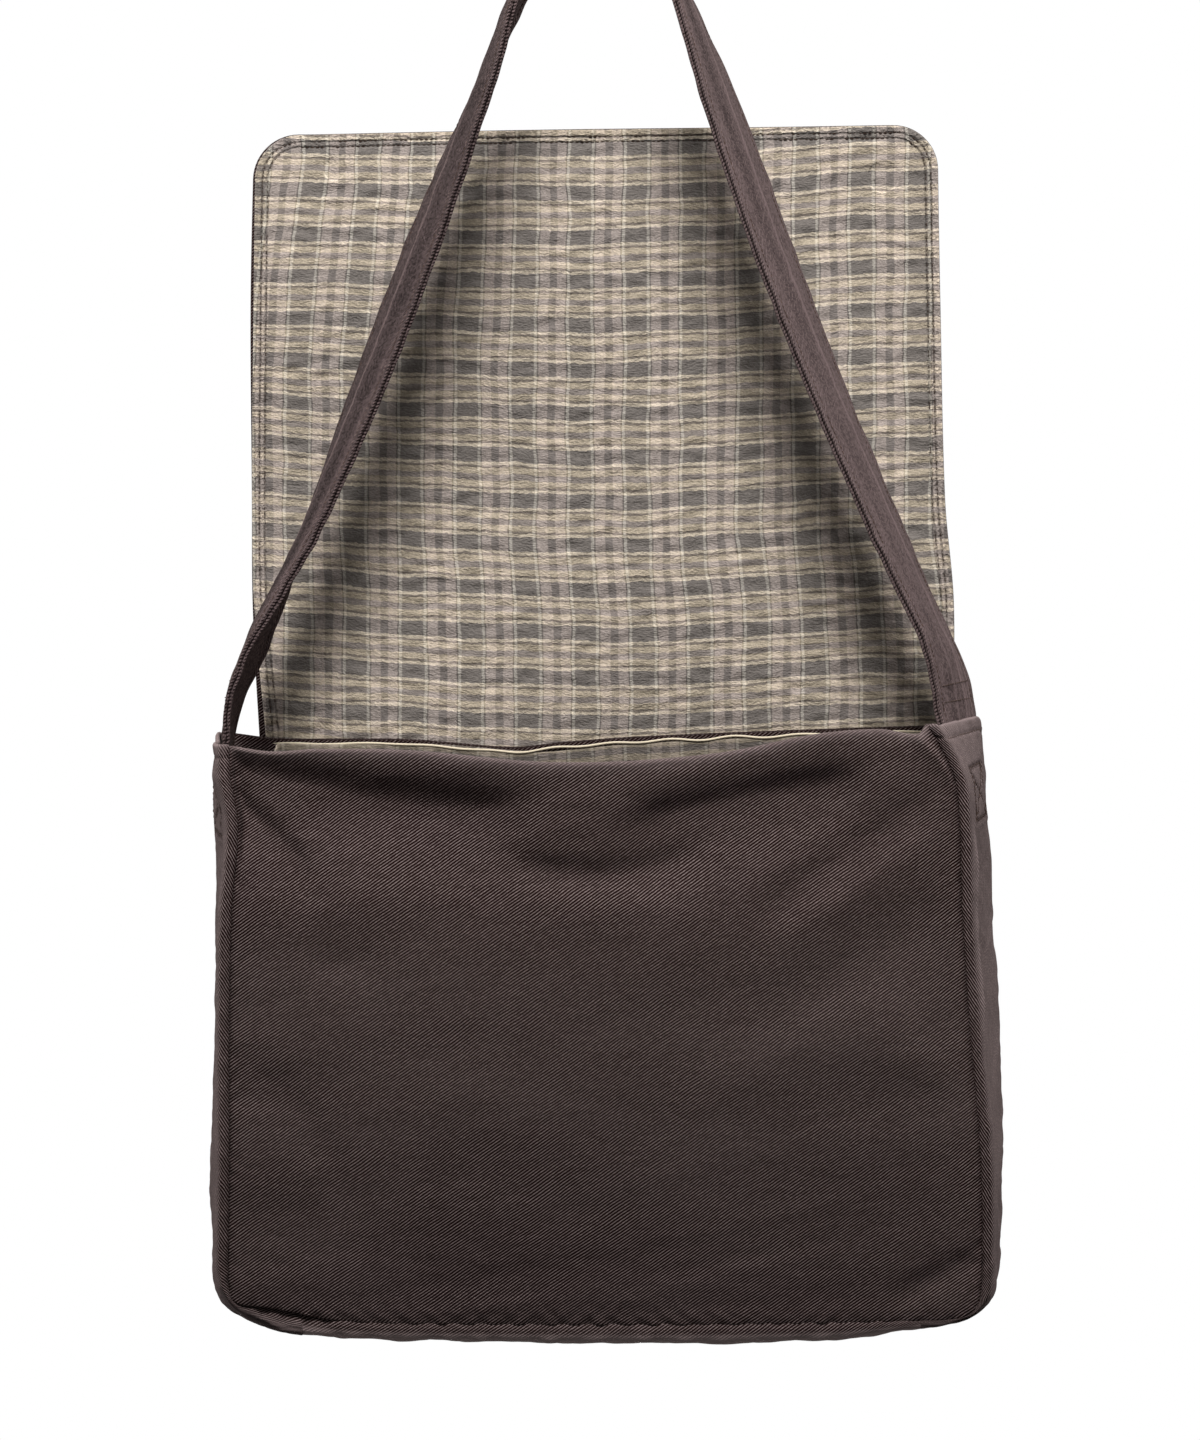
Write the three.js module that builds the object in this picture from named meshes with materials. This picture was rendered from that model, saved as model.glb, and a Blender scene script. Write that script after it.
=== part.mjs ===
// Crossbody bag of heavy brown twill with a checked cotton lining, hanging by its strap with the flap up.
// Millimetres. +X is to the right of the front view, +Y goes to the back, +Z is up.
// The origin is the underside of the strap at the point where it hangs.
import * as THREE from "three";
import { mergeVertices } from "three/addons/utils/BufferGeometryUtils.js";

// Cloth
const TWILL = 1.6; // wall of the outer cloth
const CHECK = 1.0; // wall of the lining
const GAP = 0.5; // room left between two pieces that are sewn together
const HEM = { thick: 3.2, depth: 18 }; // the front's turned top edge

// Body
const MOUTH_Z = -430; // level that the section table counts from
const FRONT = { bottom: -720, radius: 25 };
const CROWN = { bottom: -734, radius: 34 }; // the outermost line of the gusset
const BACK = { bottom: -722, radius: 18 };
const LIP = 5.5; // width of the gusset's edge that turns onto the front and the back
const LIP_ROUND = { out: 1.5, deep: 4 }; // where that edge has turned into the side
const FRONT_SWELL = { top: 6, middle: 15 };
const BACK_SWELL = 5;
const BOTTOM_SEAMS = { left: -147, right: 158 }; // where the side gussets join the bottom one

// Flap
const FLAP = { radius: 22, rootDrop: 22, edge: 0.8 };

// Strap
const STRAP = { width: 38, thick: 3.6, cup: 1.4 };

// Lining pouch
const POUCH = { bottom: -711, squareness: 8, side: 12, front: 13, back: 4, hemGap: 5, hemDrop: 9, backDrop: 1 };

// Sections of the body down from the mouth level: where the front seam, the outermost line and the back seam
// run on each side, how deep the seams and that line lie, and how far the gusset is dented behind its front edge.
const SECTIONS = [
  { drop: -8, leftFront: -183, rightFront: 160, leftSide: -191.5, rightSide: 191.6, leftBack: -186, rightBack: 187,
    frontY: -36, backY: 44, leftDeep: 0, rightDeep: 18, leftDent: 0, rightDent: 0 },
  { drop: 20, leftFront: -182, rightFront: 174, leftSide: -195.2, rightSide: 193.8, leftBack: -186, rightBack: 187,
    frontY: -40, backY: 45, leftDeep: 0, rightDeep: 18, leftDent: 0, rightDent: 0 },
  { drop: 45, leftFront: -178, rightFront: 177, leftSide: -192.6, rightSide: 195.5, leftBack: -187, rightBack: 188,
    frontY: -43, backY: 46, leftDeep: 2, rightDeep: 20, leftDent: 1, rightDent: 0.5 },
  { drop: 90, leftFront: -181, rightFront: 178, leftSide: -192.0, rightSide: 198.0, leftBack: -187, rightBack: 189,
    frontY: -46, backY: 47, leftDeep: 4, rightDeep: 22, leftDent: 2, rightDent: 5 },
  { drop: 150, leftFront: -182, rightFront: 182, leftSide: -192.4, rightSide: 201.5, leftBack: -188, rightBack: 191,
    frontY: -47, backY: 47, leftDeep: 6, rightDeep: 20, leftDent: 1, rightDent: 4 },
  { drop: 210, leftFront: -182, rightFront: 187, leftSide: -195.0, rightSide: 202.5, leftBack: -189, rightBack: 193,
    frontY: -46, backY: 46, leftDeep: 6, rightDeep: 16, leftDent: 0, rightDent: 1 },
  { drop: 270, leftFront: -183, rightFront: 188, leftSide: -193.0, rightSide: 200.5, leftBack: -189, rightBack: 193,
    frontY: -41, backY: 43, leftDeep: 6, rightDeep: 10, leftDent: 0, rightDent: 0 },
  { drop: 300, leftFront: -183, rightFront: 188, leftSide: -191.5, rightSide: 199.0, leftBack: -189, rightBack: 192,
    frontY: -38, backY: 42, leftDeep: 6, rightDeep: 8, leftDent: 0, rightDent: 0 },
];

// The bottom from left to right: height of the front seam and of the lowest line.
const BOTTOM = [
  { x: -170, front: -714.5, lowest: -728 },
  { x: -135, front: -718, lowest: -732.5 },
  { x: -90, front: -719.5, lowest: -734.5 },
  { x: 30, front: -720.5, lowest: -736 },
  { x: 115, front: -719.5, lowest: -734 },
  { x: 150, front: -718.5, lowest: -728.5 },
  { x: 180, front: -717.5, lowest: -725 },
];

// Top edges: the front sags between its corners, the back less so.
const FRONT_TOP = [
  { x: -184, z: -437.5 },
  { x: -130, z: -437.5 },
  { x: -76, z: -442 },
  { x: -15, z: -445.5 },
  { x: 59, z: -440 },
  { x: 105, z: -431.5 },
  { x: 138, z: -429 },
  { x: 156, z: -431.5 },
  { x: 170, z: -425.5 },
];
const BACK_TOP = [
  { x: -188, z: -431 },
  { x: -150, z: -436 },
  { x: -45, z: -439 },
  { x: 20, z: -435.5 },
  { x: 105, z: -432.5 },
  { x: 188, z: -427 },
];
const GUSSET_TOP = {
  left: { front: -436, middle: -430, back: -431 },
  right: { front: -426, middle: -422, back: -427 },
};

// Folds of the slack front. Each follows a parabola through three points, and depth is inwards.
const FOLDS = [
  { x0: -180, z0: -444, x1: -88, z1: -458, x2: -18, z2: -473, depth: 4.5, width: 8 },
  { x0: 18, z0: -468, x1: 78, z1: -456, x2: 150, z2: -436, depth: 4.5, width: 8 },
  { x0: -52, z0: -474, x1: 2, z1: -492, x2: 56, z2: -473, depth: 3.5, width: 8 },
  { x0: -172, z0: -461, x1: -20, z1: -514, x2: 145, z2: -449, depth: -5.0, width: 14 },
  { x0: -178, z0: -461, x1: -150, z1: -479, x2: -95, z2: -512, depth: 3.5, width: 8 },
  { x0: 68, z0: -516, x1: 113, z1: -487, x2: 165, z2: -458, depth: 2.5, width: 9 },
  { x0: 76, z0: -528, x1: 110, z1: -508, x2: 165, z2: -475, depth: -2.0, width: 10 },
  { x0: -174, z0: -584, x1: -142, z1: -619, x2: -110, z2: -651, depth: 2.5, width: 12 },
  { x0: 70, z0: -612, x1: 118, z1: -592, x2: 160, z2: -600, depth: 2.0, width: 14 },
  { x0: 130, z0: -706, x1: 160, z1: -693, x2: 182, z2: -676, depth: 2.5, width: 8 },
];

// The flap from its root up: its side edges and how deep it stands there.
const FLAP_SIDES = [
  { z: -460, left: -171.0, right: 178.0, y: 0.0 },
  { z: -420, left: -173.0, right: 179.5, y: 1.0 },
  { z: -362, left: -176.0, right: 180.0, y: 4.0 },
  { z: -310, left: -176.8, right: 175.6, y: 6.0 },
  { z: -210, left: -176.0, right: 173.2, y: 5.0 },
  { z: -118, left: -175.2, right: 171.8, y: 8.0 },
];
const FLAP_TOP = { left: -125.2, right: -119.6 };
const FLAP_WAVES = [
  { high: 2.2, alongX: 0.021, alongZ: 0.008, shift: 0.4 },
  { high: 1.4, alongX: -0.013, alongZ: 0.026, shift: 1.9 },
];
const FLAP_CURL = { left: -4, right: 2, reach: 34 };

// The strap from its sewn left end over the top to its sewn right end. Turn is how far the width leans from
// straight back towards +X, in degrees.
const STRAP_ROUTE = [
  { x: -183.8, y: 0, z: -478, turn: 0 },
  { x: -186.6, y: 0, z: -455, turn: 0 },
  { x: -187.0, y: 0, z: -432, turn: 0 },
  { x: -183.4, y: 0, z: -412, turn: 3 },
  { x: -177.0, y: 0, z: -395, turn: 11 },
  { x: -170.0, y: 0, z: -378, turn: 9 },
  { x: -160.5, y: 0, z: -355, turn: -4 },
  { x: -146.0, y: 0, z: -322, turn: -21 },
  { x: -118.0, y: 0, z: -253, turn: -28 },
  { x: -89.0, y: 0, z: -180, turn: -28 },
  { x: -67.8, y: 0, z: -128, turn: -21 },
  { x: -56.2, y: 0, z: -97, turn: -14 },
  { x: -45.0, y: 0, z: -69, turn: 7 },
  { x: -33.0, y: 0, z: -40, turn: 7 },
  { x: -22.0, y: 0, z: -13, turn: 2 },
  { x: -12.0, y: 0, z: -1.6, turn: 0 },
  { x: 0.0, y: 0, z: 1.8, turn: 0 },
  { x: 12.0, y: 0, z: -1.6, turn: 2 },
  { x: 22.0, y: 0, z: -13, turn: 5 },
  { x: 33.0, y: 0, z: -42, turn: 9 },
  { x: 46.0, y: 0, z: -73, turn: 17 },
  { x: 64.2, y: 0, z: -123, turn: 27 },
  { x: 90.0, y: 0, z: -190, turn: 25 },
  { x: 120.0, y: 0, z: -262, turn: 22 },
  { x: 150.0, y: 0, z: -336, turn: 20 },
  { x: 165.5, y: 0, z: -374, turn: 20 },
  { x: 173.6, y: 0, z: -396, turn: 27 },
  { x: 178.2, y: 0, z: -418, turn: 30 },
  { x: 180.6, y: 0, z: -440, turn: 22 },
  { x: 184.6, y: 0, z: -476, turn: 12 },
];

// Grids
const CORNER_STEPS = 5;
const FRONT_GRID = { middle: 18, rows: 20 };
const BACK_GRID = { middle: 8, rows: 10 };
const FLAP_GRID = { middle: 10, rows: 14 };
const GUSSET_STEPS = { side: 15, corner: CORNER_STEPS, end: 2, bottom: 11 };
const CROWDING = 1.5; // how much closer the steps of a side are towards its top
const STRAP_STEPS = { along: 72, across: 2 };
const POUCH_STEPS = { around: 56, up: 6 };

const lerp = THREE.MathUtils.lerp;
const smoothstep = THREE.MathUtils.smoothstep;
const point = (x, y, z) => new THREE.Vector3(x, y, z);

// Every column of a table at one place, on a smooth curve through its rows.
function read(rows, key, at) {
  const last = rows.length - 1;
  const rising = rows[last][key] > rows[0][key];
  const inside = THREE.MathUtils.clamp(
    at,
    Math.min(rows[0][key], rows[last][key]),
    Math.max(rows[0][key], rows[last][key]),
  );
  let i = 0;
  while (i < last - 1 && (rising ? rows[i + 1][key] < inside : rows[i + 1][key] > inside)) i++;
  const [a, b] = [rows[i], rows[i + 1]];
  const [before, after] = [rows[Math.max(i - 1, 0)], rows[Math.min(i + 2, last)]];
  const span = b[key] - a[key];
  const t = (inside - a[key]) / span;
  const out = {};
  for (const column of Object.keys(a)) {
    const slopeA = ((b[column] - before[column]) / (b[key] - before[key])) * span;
    const slopeB = ((after[column] - a[column]) / (after[key] - a[key])) * span;
    out[column] =
      (2 * t ** 3 - 3 * t ** 2 + 1) * a[column] +
      (t ** 3 - 2 * t ** 2 + t) * slopeA +
      (3 * t ** 2 - 2 * t ** 3) * b[column] +
      (t ** 3 - t ** 2) * slopeB;
  }
  return out;
}

const section = (z) => read(SECTIONS, "drop", MOUTH_Z - z);
const frontTop = (x) => read(FRONT_TOP, "x", x).z;
const backTop = (x) => read(BACK_TOP, "x", x).z;

// A closed solid from a grid of points on one face: the box's top face takes the grid, its bottom face the grid
// moved by the offset that under(i, j) gives.
function clothSolid(grid, under) {
  const [columns, rows] = [grid.length - 1, grid[0].length - 1];
  const box = new THREE.BoxGeometry(1, 1, 1, columns, rows, 1);
  box.deleteAttribute("normal");
  box.deleteAttribute("uv");
  const solid = mergeVertices(box);
  const position = solid.attributes.position;
  for (let k = 0; k < position.count; k++) {
    const i = Math.round((position.getX(k) + 0.5) * columns);
    const j = Math.round((position.getY(k) + 0.5) * rows);
    const p = grid[i][j].clone();
    if (position.getZ(k) < 0) p.add(under(i, j));
    position.setXYZ(k, p.x, p.y, p.z);
  }
  return solid;
}

// The same solid without the empty triangles that a closed end leaves.
function withoutSlivers(solid) {
  const index = Array.from(solid.index.array);
  const kept = [];
  for (let i = 0; i < index.length; i += 3) {
    const [a, b, c] = index.slice(i, i + 3);
    if (a !== b && b !== c && c !== a) kept.push(a, b, c);
  }
  solid.setIndex(kept);
  return solid;
}

// Unit normal of a grid at one of its points, from the neighbours' differences.
function normalAt(grid, i, j) {
  const along = grid[Math.min(i + 1, grid.length - 1)][j].clone().sub(grid[Math.max(i - 1, 0)][j]);
  const across = grid[i][Math.min(j + 1, grid[i].length - 1)].clone().sub(grid[i][Math.max(j - 1, 0)]);
  return along.cross(across).normalize();
}

// Columns of a panel with round corners: shares of the width, close together inside each corner's radius.
function cornerColumns(width, radius, middle) {
  const ends = Array.from({ length: CORNER_STEPS }, (_, i) => {
    return (radius * (1 - Math.cos((i / CORNER_STEPS) * (Math.PI / 2)))) / width;
  });
  const inner = radius / width;
  const between = Array.from({ length: middle + 1 }, (_, i) => lerp(inner, 1 - inner, i / middle));
  return [...ends, ...between, ...ends.map((share) => 1 - share).reverse()];
}

// How far a round corner lifts the edge at a distance from the side.
function cornerLift(distance, radius) {
  const inside = Math.max(radius - distance, 0);
  return radius - Math.sqrt(Math.max(radius ** 2 - inside ** 2, 0));
}

// Depth of all the folds at one place on the front, faded out towards the seams.
function foldDepth(x, z) {
  return FOLDS.reduce((sum, f) => {
    const line =
      (f.z0 * (x - f.x1) * (x - f.x2)) / ((f.x0 - f.x1) * (f.x0 - f.x2)) +
      (f.z1 * (x - f.x0) * (x - f.x2)) / ((f.x1 - f.x0) * (f.x1 - f.x2)) +
      (f.z2 * (x - f.x0) * (x - f.x1)) / ((f.x2 - f.x0) * (f.x2 - f.x1));
    const soft = 0.22 * (f.x2 - f.x0);
    const fade = smoothstep(x, f.x0 - 4, f.x0 + soft) * (1 - smoothstep(x, f.x2 - soft, f.x2 + 4));
    return sum + f.depth * fade * Math.exp(-(((z - line) / f.width) ** 2));
  }, 0);
}

// How far the front stands out of the plane of its seams. Across and down run from 0 to 1.
function frontSwell(across, down) {
  const round = (1 - (2 * across - 1) ** 2) ** 0.6;
  return round * (FRONT_SWELL.top * (1 - down) ** 2 + FRONT_SWELL.middle * 4 * down * (1 - down));
}

// Outer face of the front panel.
function frontPoint(across, down) {
  const corner = section(FRONT.bottom + FRONT.radius);
  const edgeX = lerp(corner.leftFront, corner.rightFront, across);
  const fromSide = Math.min(across, 1 - across) * (corner.rightFront - corner.leftFront);
  const bottom = read(BOTTOM, "x", edgeX).front + cornerLift(fromSide, FRONT.radius);
  const top = frontTop(edgeX);
  const z = lerp(top, bottom, down);
  const s = section(z);
  const x = lerp(s.leftFront, s.rightFront, across);
  const hold = smoothstep(fromSide, 2, 22) * smoothstep(z - bottom, 2, 22);
  return point(x, s.frontY - frontSwell(across, down) + hold * foldDepth(x, z), z);
}

// Outer face of the back panel.
function backPoint(across, down) {
  const corner = section(BACK.bottom + BACK.radius);
  const edgeX = lerp(corner.leftBack, corner.rightBack, across);
  const fromSide = Math.min(across, 1 - across) * (corner.rightBack - corner.leftBack);
  const bottom = BACK.bottom + cornerLift(fromSide, BACK.radius);
  const z = lerp(backTop(edgeX), bottom, down);
  const s = section(z);
  const swell = BACK_SWELL * (1 - (2 * across - 1) ** 2) * 4 * down * (1 - down);
  return point(lerp(s.leftBack, s.rightBack, across), s.backY + swell, z);
}

// A grid over a panel: columns close together in the corners, rows closer together near the top.
function panelGrid(at, columns, rows) {
  return columns.map((across) => {
    return Array.from({ length: rows + 1 }, (_, j) => {
      const up = j / rows;
      return at(across, 1 - up * (1.35 - 0.35 * up));
    });
  });
}

function frontPanel() {
  const corner = section(FRONT.bottom + FRONT.radius);
  const columns = cornerColumns(corner.rightFront - corner.leftFront, FRONT.radius, FRONT_GRID.middle);
  const grid = panelGrid(frontPoint, columns, FRONT_GRID.rows);
  return clothSolid(grid, (i, j) => {
    const below = grid[i][grid[i].length - 1].z - grid[i][j].z;
    return point(0, lerp(HEM.thick, TWILL, smoothstep(below, HEM.depth * 0.5, HEM.depth)), 0);
  });
}

function backPanel() {
  const corner = section(BACK.bottom + BACK.radius);
  const columns = cornerColumns(corner.rightBack - corner.leftBack, BACK.radius, BACK_GRID.middle);
  const inner = panelGrid(backPoint, columns, BACK_GRID.rows);
  for (const column of inner) for (const p of column) p.y -= TWILL;
  return clothSolid(inner, () => point(0, TWILL, 0));
}

// A place on one of the gusset's three lines, with the way out of the bag there. Stretch is the side, the corner,
// the end up to the bottom seam or the bottom between the seams, and share runs along it from 0 to 1.
function linePlace(shape, columns, height, hem, { stretch, side, share }) {
  const key = side < 0 ? columns.left : columns.right;
  const cornerX = section(shape.bottom + shape.radius)[key] - side * shape.radius;
  if (stretch === "bottom" || stretch === "end") {
    const seam = side < 0 ? BOTTOM_SEAMS.left : BOTTOM_SEAMS.right;
    const x =
      stretch === "end"
        ? lerp(cornerX, seam + (side * GAP) / 2, share)
        : lerp(BOTTOM_SEAMS.left + GAP / 2, BOTTOM_SEAMS.right - GAP / 2, share);
    return { x, z: height(x), out: point(0, 0, -1) };
  }
  const low = height(cornerX);
  if (stretch === "corner") {
    const turn = (share * Math.PI) / 2;
    const x = cornerX + side * shape.radius * Math.cos(turn);
    const z = low + shape.radius * (1 - Math.sin(turn));
    return { x, z, out: point(side * Math.cos(turn), 0, -Math.sin(turn)) };
  }
  const z = lerp(hem, low + shape.radius, share);
  return { x: section(z)[key], z, out: point(side, 0, 0) };
}

// One cross-section of the gusset, from the front seam over its edge, dent and outermost line to the back seam.
function gussetSection(place) {
  const name = place.side < 0 ? "left" : "right";
  const hem = GUSSET_TOP[name];
  const frontHeight = (x) => read(BOTTOM, "x", x).front;
  const lowHeight = (x) => read(BOTTOM, "x", x).lowest;
  const front = linePlace(FRONT, { left: "leftFront", right: "rightFront" }, frontHeight, hem.front, place);
  const crown = linePlace(CROWN, { left: "leftSide", right: "rightSide" }, lowHeight, hem.middle, place);
  const back = linePlace(BACK, { left: "leftBack", right: "rightBack" }, () => BACK.bottom, hem.back, place);
  const s = section(crown.z);
  const deep = place.stretch === "bottom" ? lerp(s.leftDeep, s.rightDeep, place.share) : s[name + "Deep"];
  const dent = place.stretch === "side" ? s[name + "Dent"] : 0;
  const frontY = section(front.z).frontY;
  const backY = section(back.z).backY;
  const step = (from, out, y) => point(from.x, y, from.z).addScaledVector(from.out, out);
  const turnFront = step(front, LIP + LIP_ROUND.out, frontY + LIP_ROUND.deep);
  const turnBack = step(back, LIP + LIP_ROUND.out, backY - LIP_ROUND.deep);
  const middle = point(crown.x, deep, crown.z);
  const between = (a, b, share, out) => a.clone().lerp(b, share).addScaledVector(crown.out, out);
  return [
    step(front, GAP, frontY),
    step(front, LIP, frontY - 0.4),
    turnFront,
    between(turnFront, middle, 0.35, -dent),
    between(turnFront, middle, 0.7, -0.4 * dent),
    middle,
    between(middle, turnBack, 0.5, 0.6),
    turnBack,
    step(back, LIP, backY + 0.4),
    step(back, GAP, backY),
  ];
}

// Stations of the gusset, each a share of a stretch.
function stations(stretch, side, steps, crowding = 1) {
  return Array.from({ length: steps + 1 }, (_, i) => ({ stretch, side, share: (i / steps) ** crowding }));
}

function gussetSolid(places, flip) {
  const grid = places.map(gussetSection);
  if (flip) grid.reverse();
  return clothSolid(grid, (i, j) => normalAt(grid, i, j).multiplyScalar(-TWILL));
}

function sideGusset(side) {
  const places = [
    ...stations("side", side, GUSSET_STEPS.side, CROWDING).slice(0, -1),
    ...stations("corner", side, GUSSET_STEPS.corner).slice(0, -1),
    ...stations("end", side, GUSSET_STEPS.end),
  ];
  return gussetSolid(places, side < 0);
}

function bottomGusset() {
  return gussetSolid(stations("bottom", -1, GUSSET_STEPS.bottom), true);
}

// Front face of the flap's lining. The root lies against the back panel, and the rest stands up from it.
function flapPoint(across, down, edge) {
  const rim = { top: lerp(FLAP_TOP.left, FLAP_TOP.right, across) + edge };
  const sides = (z) => {
    const row = read(FLAP_SIDES, "z", z);
    return { left: row.left - edge, right: row.right + edge, y: row.y };
  };
  const wide = sides(rim.top);
  const fromSide = Math.min(across, 1 - across) * (wide.right - wide.left);
  const top = rim.top - cornerLift(fromSide, FLAP.radius);
  const root = backTop(lerp(wide.left, wide.right, across)) - FLAP.rootDrop;
  const z = lerp(top, root, down);
  const s = sides(z);
  const x = lerp(s.left, s.right, across);
  const free = smoothstep(z, root + FLAP.rootDrop, root + 3 * FLAP.rootDrop);
  const waves = FLAP_WAVES.reduce((sum, w) => {
    return sum + w.high * Math.sin(w.alongX * x + w.alongZ * z + w.shift);
  }, 0);
  const curl =
    FLAP_CURL.left * (1 - smoothstep(x - s.left, 0, FLAP_CURL.reach)) +
    FLAP_CURL.right * (1 - smoothstep(s.right - x, 0, FLAP_CURL.reach));
  const wall = Math.max(section(z).backY, section(MOUTH_Z).backY) + 3 * GAP;
  return point(x, wall + free * (s.y + waves + curl), z);
}

function flapGrid(edge) {
  const width = FLAP_SIDES.at(-1).right - FLAP_SIDES.at(-1).left;
  const columns = cornerColumns(width, FLAP.radius, FLAP_GRID.middle);
  return columns.map((across) => {
    return Array.from({ length: FLAP_GRID.rows + 1 }, (_, j) => {
      return flapPoint(across, 1 - j / FLAP_GRID.rows, edge);
    });
  });
}

function flapLining() {
  return clothSolid(flapGrid(0), () => point(0, CHECK, 0));
}

function flapOuter() {
  const front = flapGrid(FLAP.edge);
  for (const column of front) for (const p of column) p.y += CHECK + GAP;
  return clothSolid(front, () => point(0, TWILL, 0));
}

// The strap: a flat band, a little cupped, carried along its route with its width turned as the route says.
function strap() {
  const rows = STRAP_ROUTE.map((row, i) => ({ ...row, at: i }));
  const last = rows.length - 1;
  const centre = (share) => {
    const r = read(rows, "at", share * last);
    return point(r.x, r.y, r.z);
  };
  const grid = Array.from({ length: STRAP_STEPS.across + 1 }, () => []);
  const down = Array.from({ length: STRAP_STEPS.across + 1 }, () => []);
  for (let i = 0; i <= STRAP_STEPS.along; i++) {
    const share = i / STRAP_STEPS.along;
    const along = centre(Math.min(share + 0.002, 1)).sub(centre(Math.max(share - 0.002, 0))).normalize();
    const turn = THREE.MathUtils.degToRad(read(rows, "at", share * last).turn);
    const wide = point(Math.sin(turn), Math.cos(turn), 0);
    wide.addScaledVector(along, -wide.dot(along)).normalize();
    const outwards = wide.clone().cross(along).negate();
    for (let k = 0; k <= STRAP_STEPS.across; k++) {
      const aside = k / STRAP_STEPS.across - 0.5;
      const cup = STRAP.cup * (1 - 4 * aside ** 2) - STRAP.cup / 2;
      const p = centre(share).addScaledVector(wide, aside * STRAP.width);
      grid[k].push(p.addScaledVector(outwards, STRAP.thick / 2 + cup));
      down[k].push(outwards.clone().multiplyScalar(-STRAP.thick));
    }
  }
  return clothSolid(grid.reverse(), (k, i) => down[STRAP_STEPS.across - k][i]);
}

// A place on a unit square with round corners, found by looking out from its middle.
function squared(turn) {
  const [sine, cosine] = [Math.sin(turn), Math.cos(turn)];
  const reach = (Math.abs(sine) ** POUCH.squareness + Math.abs(cosine) ** POUCH.squareness) ** (1 / POUCH.squareness);
  return [sine / reach, -cosine / reach];
}

// The lining pouch: a squared-off cup inside the walls. P and q run from -1 to 1 across the width and the depth.
function pouchPoint(p, q, up) {
  const mouth = section(MOUTH_Z);
  const rimX = lerp(mouth.leftFront, mouth.rightFront, (p + 1) / 2);
  const rim = lerp(frontTop(rimX) - POUCH.hemDrop, backTop(rimX) - POUCH.backDrop, (q + 1) / 2);
  const z = lerp(POUCH.bottom, rim, up);
  const s = section(z);
  const atRim = smoothstep(up, 0.86, 1);
  const left = lerp(s.leftFront, s.leftBack, (q + 1) / 2) + POUCH.side;
  const right = lerp(s.rightFront, s.rightBack, (q + 1) / 2) - POUCH.side;
  const down = THREE.MathUtils.clamp((frontTop(rimX) - z) / (frontTop(rimX) - FRONT.bottom), 0, 1);
  const inset = lerp(POUCH.front, HEM.thick + POUCH.hemGap, atRim);
  const front = s.frontY - frontSwell((p + 1) / 2, down) + inset;
  const back = s.backY - TWILL - lerp(POUCH.back, GAP, atRim);
  return point(lerp(left, right, (p + 1) / 2), lerp(front, back, (q + 1) / 2), z);
}

function liningPouch() {
  const levels = Array.from({ length: POUCH_STEPS.up + 1 }, (_, i) => 1 - (1 - i / POUCH_STEPS.up) ** 1.5);
  const outer = levels.map((up) => ({ wide: 1, up, inside: 0 }));
  const inner = levels.map((up) => ({ wide: 1, up, inside: 1 })).reverse();
  const centre = (inside) => ({ wide: 0, up: 0, inside });
  const profile = [centre(0), ...outer, ...inner, centre(1)];
  const lathe = new THREE.LatheGeometry(
    profile.map((row, i) => new THREE.Vector2(row.wide, i)),
    POUCH_STEPS.around,
  );
  lathe.deleteAttribute("normal");
  lathe.deleteAttribute("uv");
  const position = lathe.attributes.position;
  for (let k = 0; k < position.count; k++) {
    const row = profile[k % profile.length];
    const step = Math.floor(k / profile.length) % POUCH_STEPS.around;
    const turn = (2 * Math.PI * step) / POUCH_STEPS.around;
    const [p, q] = squared(turn).map((value) => row.wide * value);
    const at = pouchPoint(p, q, row.up);
    const s = section(at.z);
    const thin = row.inside * CHECK;
    const floor = row.inside * CHECK * (1 - row.up);
    const wide = (s.rightFront - s.leftFront) / 2 - POUCH.side;
    const deep = (s.backY - s.frontY) / 2 - POUCH.back;
    const narrowed = pouchPoint(p * (1 - thin / wide), q * (1 - thin / deep), row.up);
    position.setXYZ(k, narrowed.x, narrowed.y, at.z + floor);
  }
  return withoutSlivers(mergeVertices(lathe, 1e-3));
}

const twill = new THREE.MeshStandardMaterial({ color: 0x40352f, roughness: 0.95, metalness: 0 });
const strapTwill = new THREE.MeshStandardMaterial({ color: 0x54474a, roughness: 0.95, metalness: 0 });
const check = new THREE.MeshStandardMaterial({ color: 0xa09488, roughness: 0.95, metalness: 0 });

function piece(name, geometry, material) {
  const mesh = new THREE.Mesh(geometry, material);
  mesh.name = name;
  return mesh;
}

const body = new THREE.Group();
body.add(
  piece("front_panel", frontPanel(), twill),
  piece("back_panel", backPanel(), twill),
  piece("left_gusset", sideGusset(-1), twill),
  piece("right_gusset", sideGusset(1), twill),
  piece("bottom_gusset", bottomGusset(), twill),
  piece("lining_pouch", liningPouch(), check),
);

const flap = new THREE.Group();
flap.add(piece("flap_outer", flapOuter(), twill), piece("flap_lining", flapLining(), check));

const bag = new THREE.Group();
bag.add(body, flap, piece("strap", strap(), strapTwill));

export default bag;
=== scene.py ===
import bpy
import numpy as np
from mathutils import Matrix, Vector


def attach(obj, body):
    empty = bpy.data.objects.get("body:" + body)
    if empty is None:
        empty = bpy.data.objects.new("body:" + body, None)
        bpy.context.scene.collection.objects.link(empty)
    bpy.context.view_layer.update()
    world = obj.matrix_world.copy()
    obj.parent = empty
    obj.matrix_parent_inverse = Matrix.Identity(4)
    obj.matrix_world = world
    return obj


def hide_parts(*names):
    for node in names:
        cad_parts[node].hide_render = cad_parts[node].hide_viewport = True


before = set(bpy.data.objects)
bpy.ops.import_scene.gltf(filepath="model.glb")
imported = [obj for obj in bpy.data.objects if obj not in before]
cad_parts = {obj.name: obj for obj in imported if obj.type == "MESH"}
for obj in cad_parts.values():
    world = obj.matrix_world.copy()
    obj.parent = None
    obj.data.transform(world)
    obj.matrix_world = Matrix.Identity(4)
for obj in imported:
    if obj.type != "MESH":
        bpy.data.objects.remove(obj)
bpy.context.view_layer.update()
print("frame loaded,", len(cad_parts), "nodes")

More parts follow.
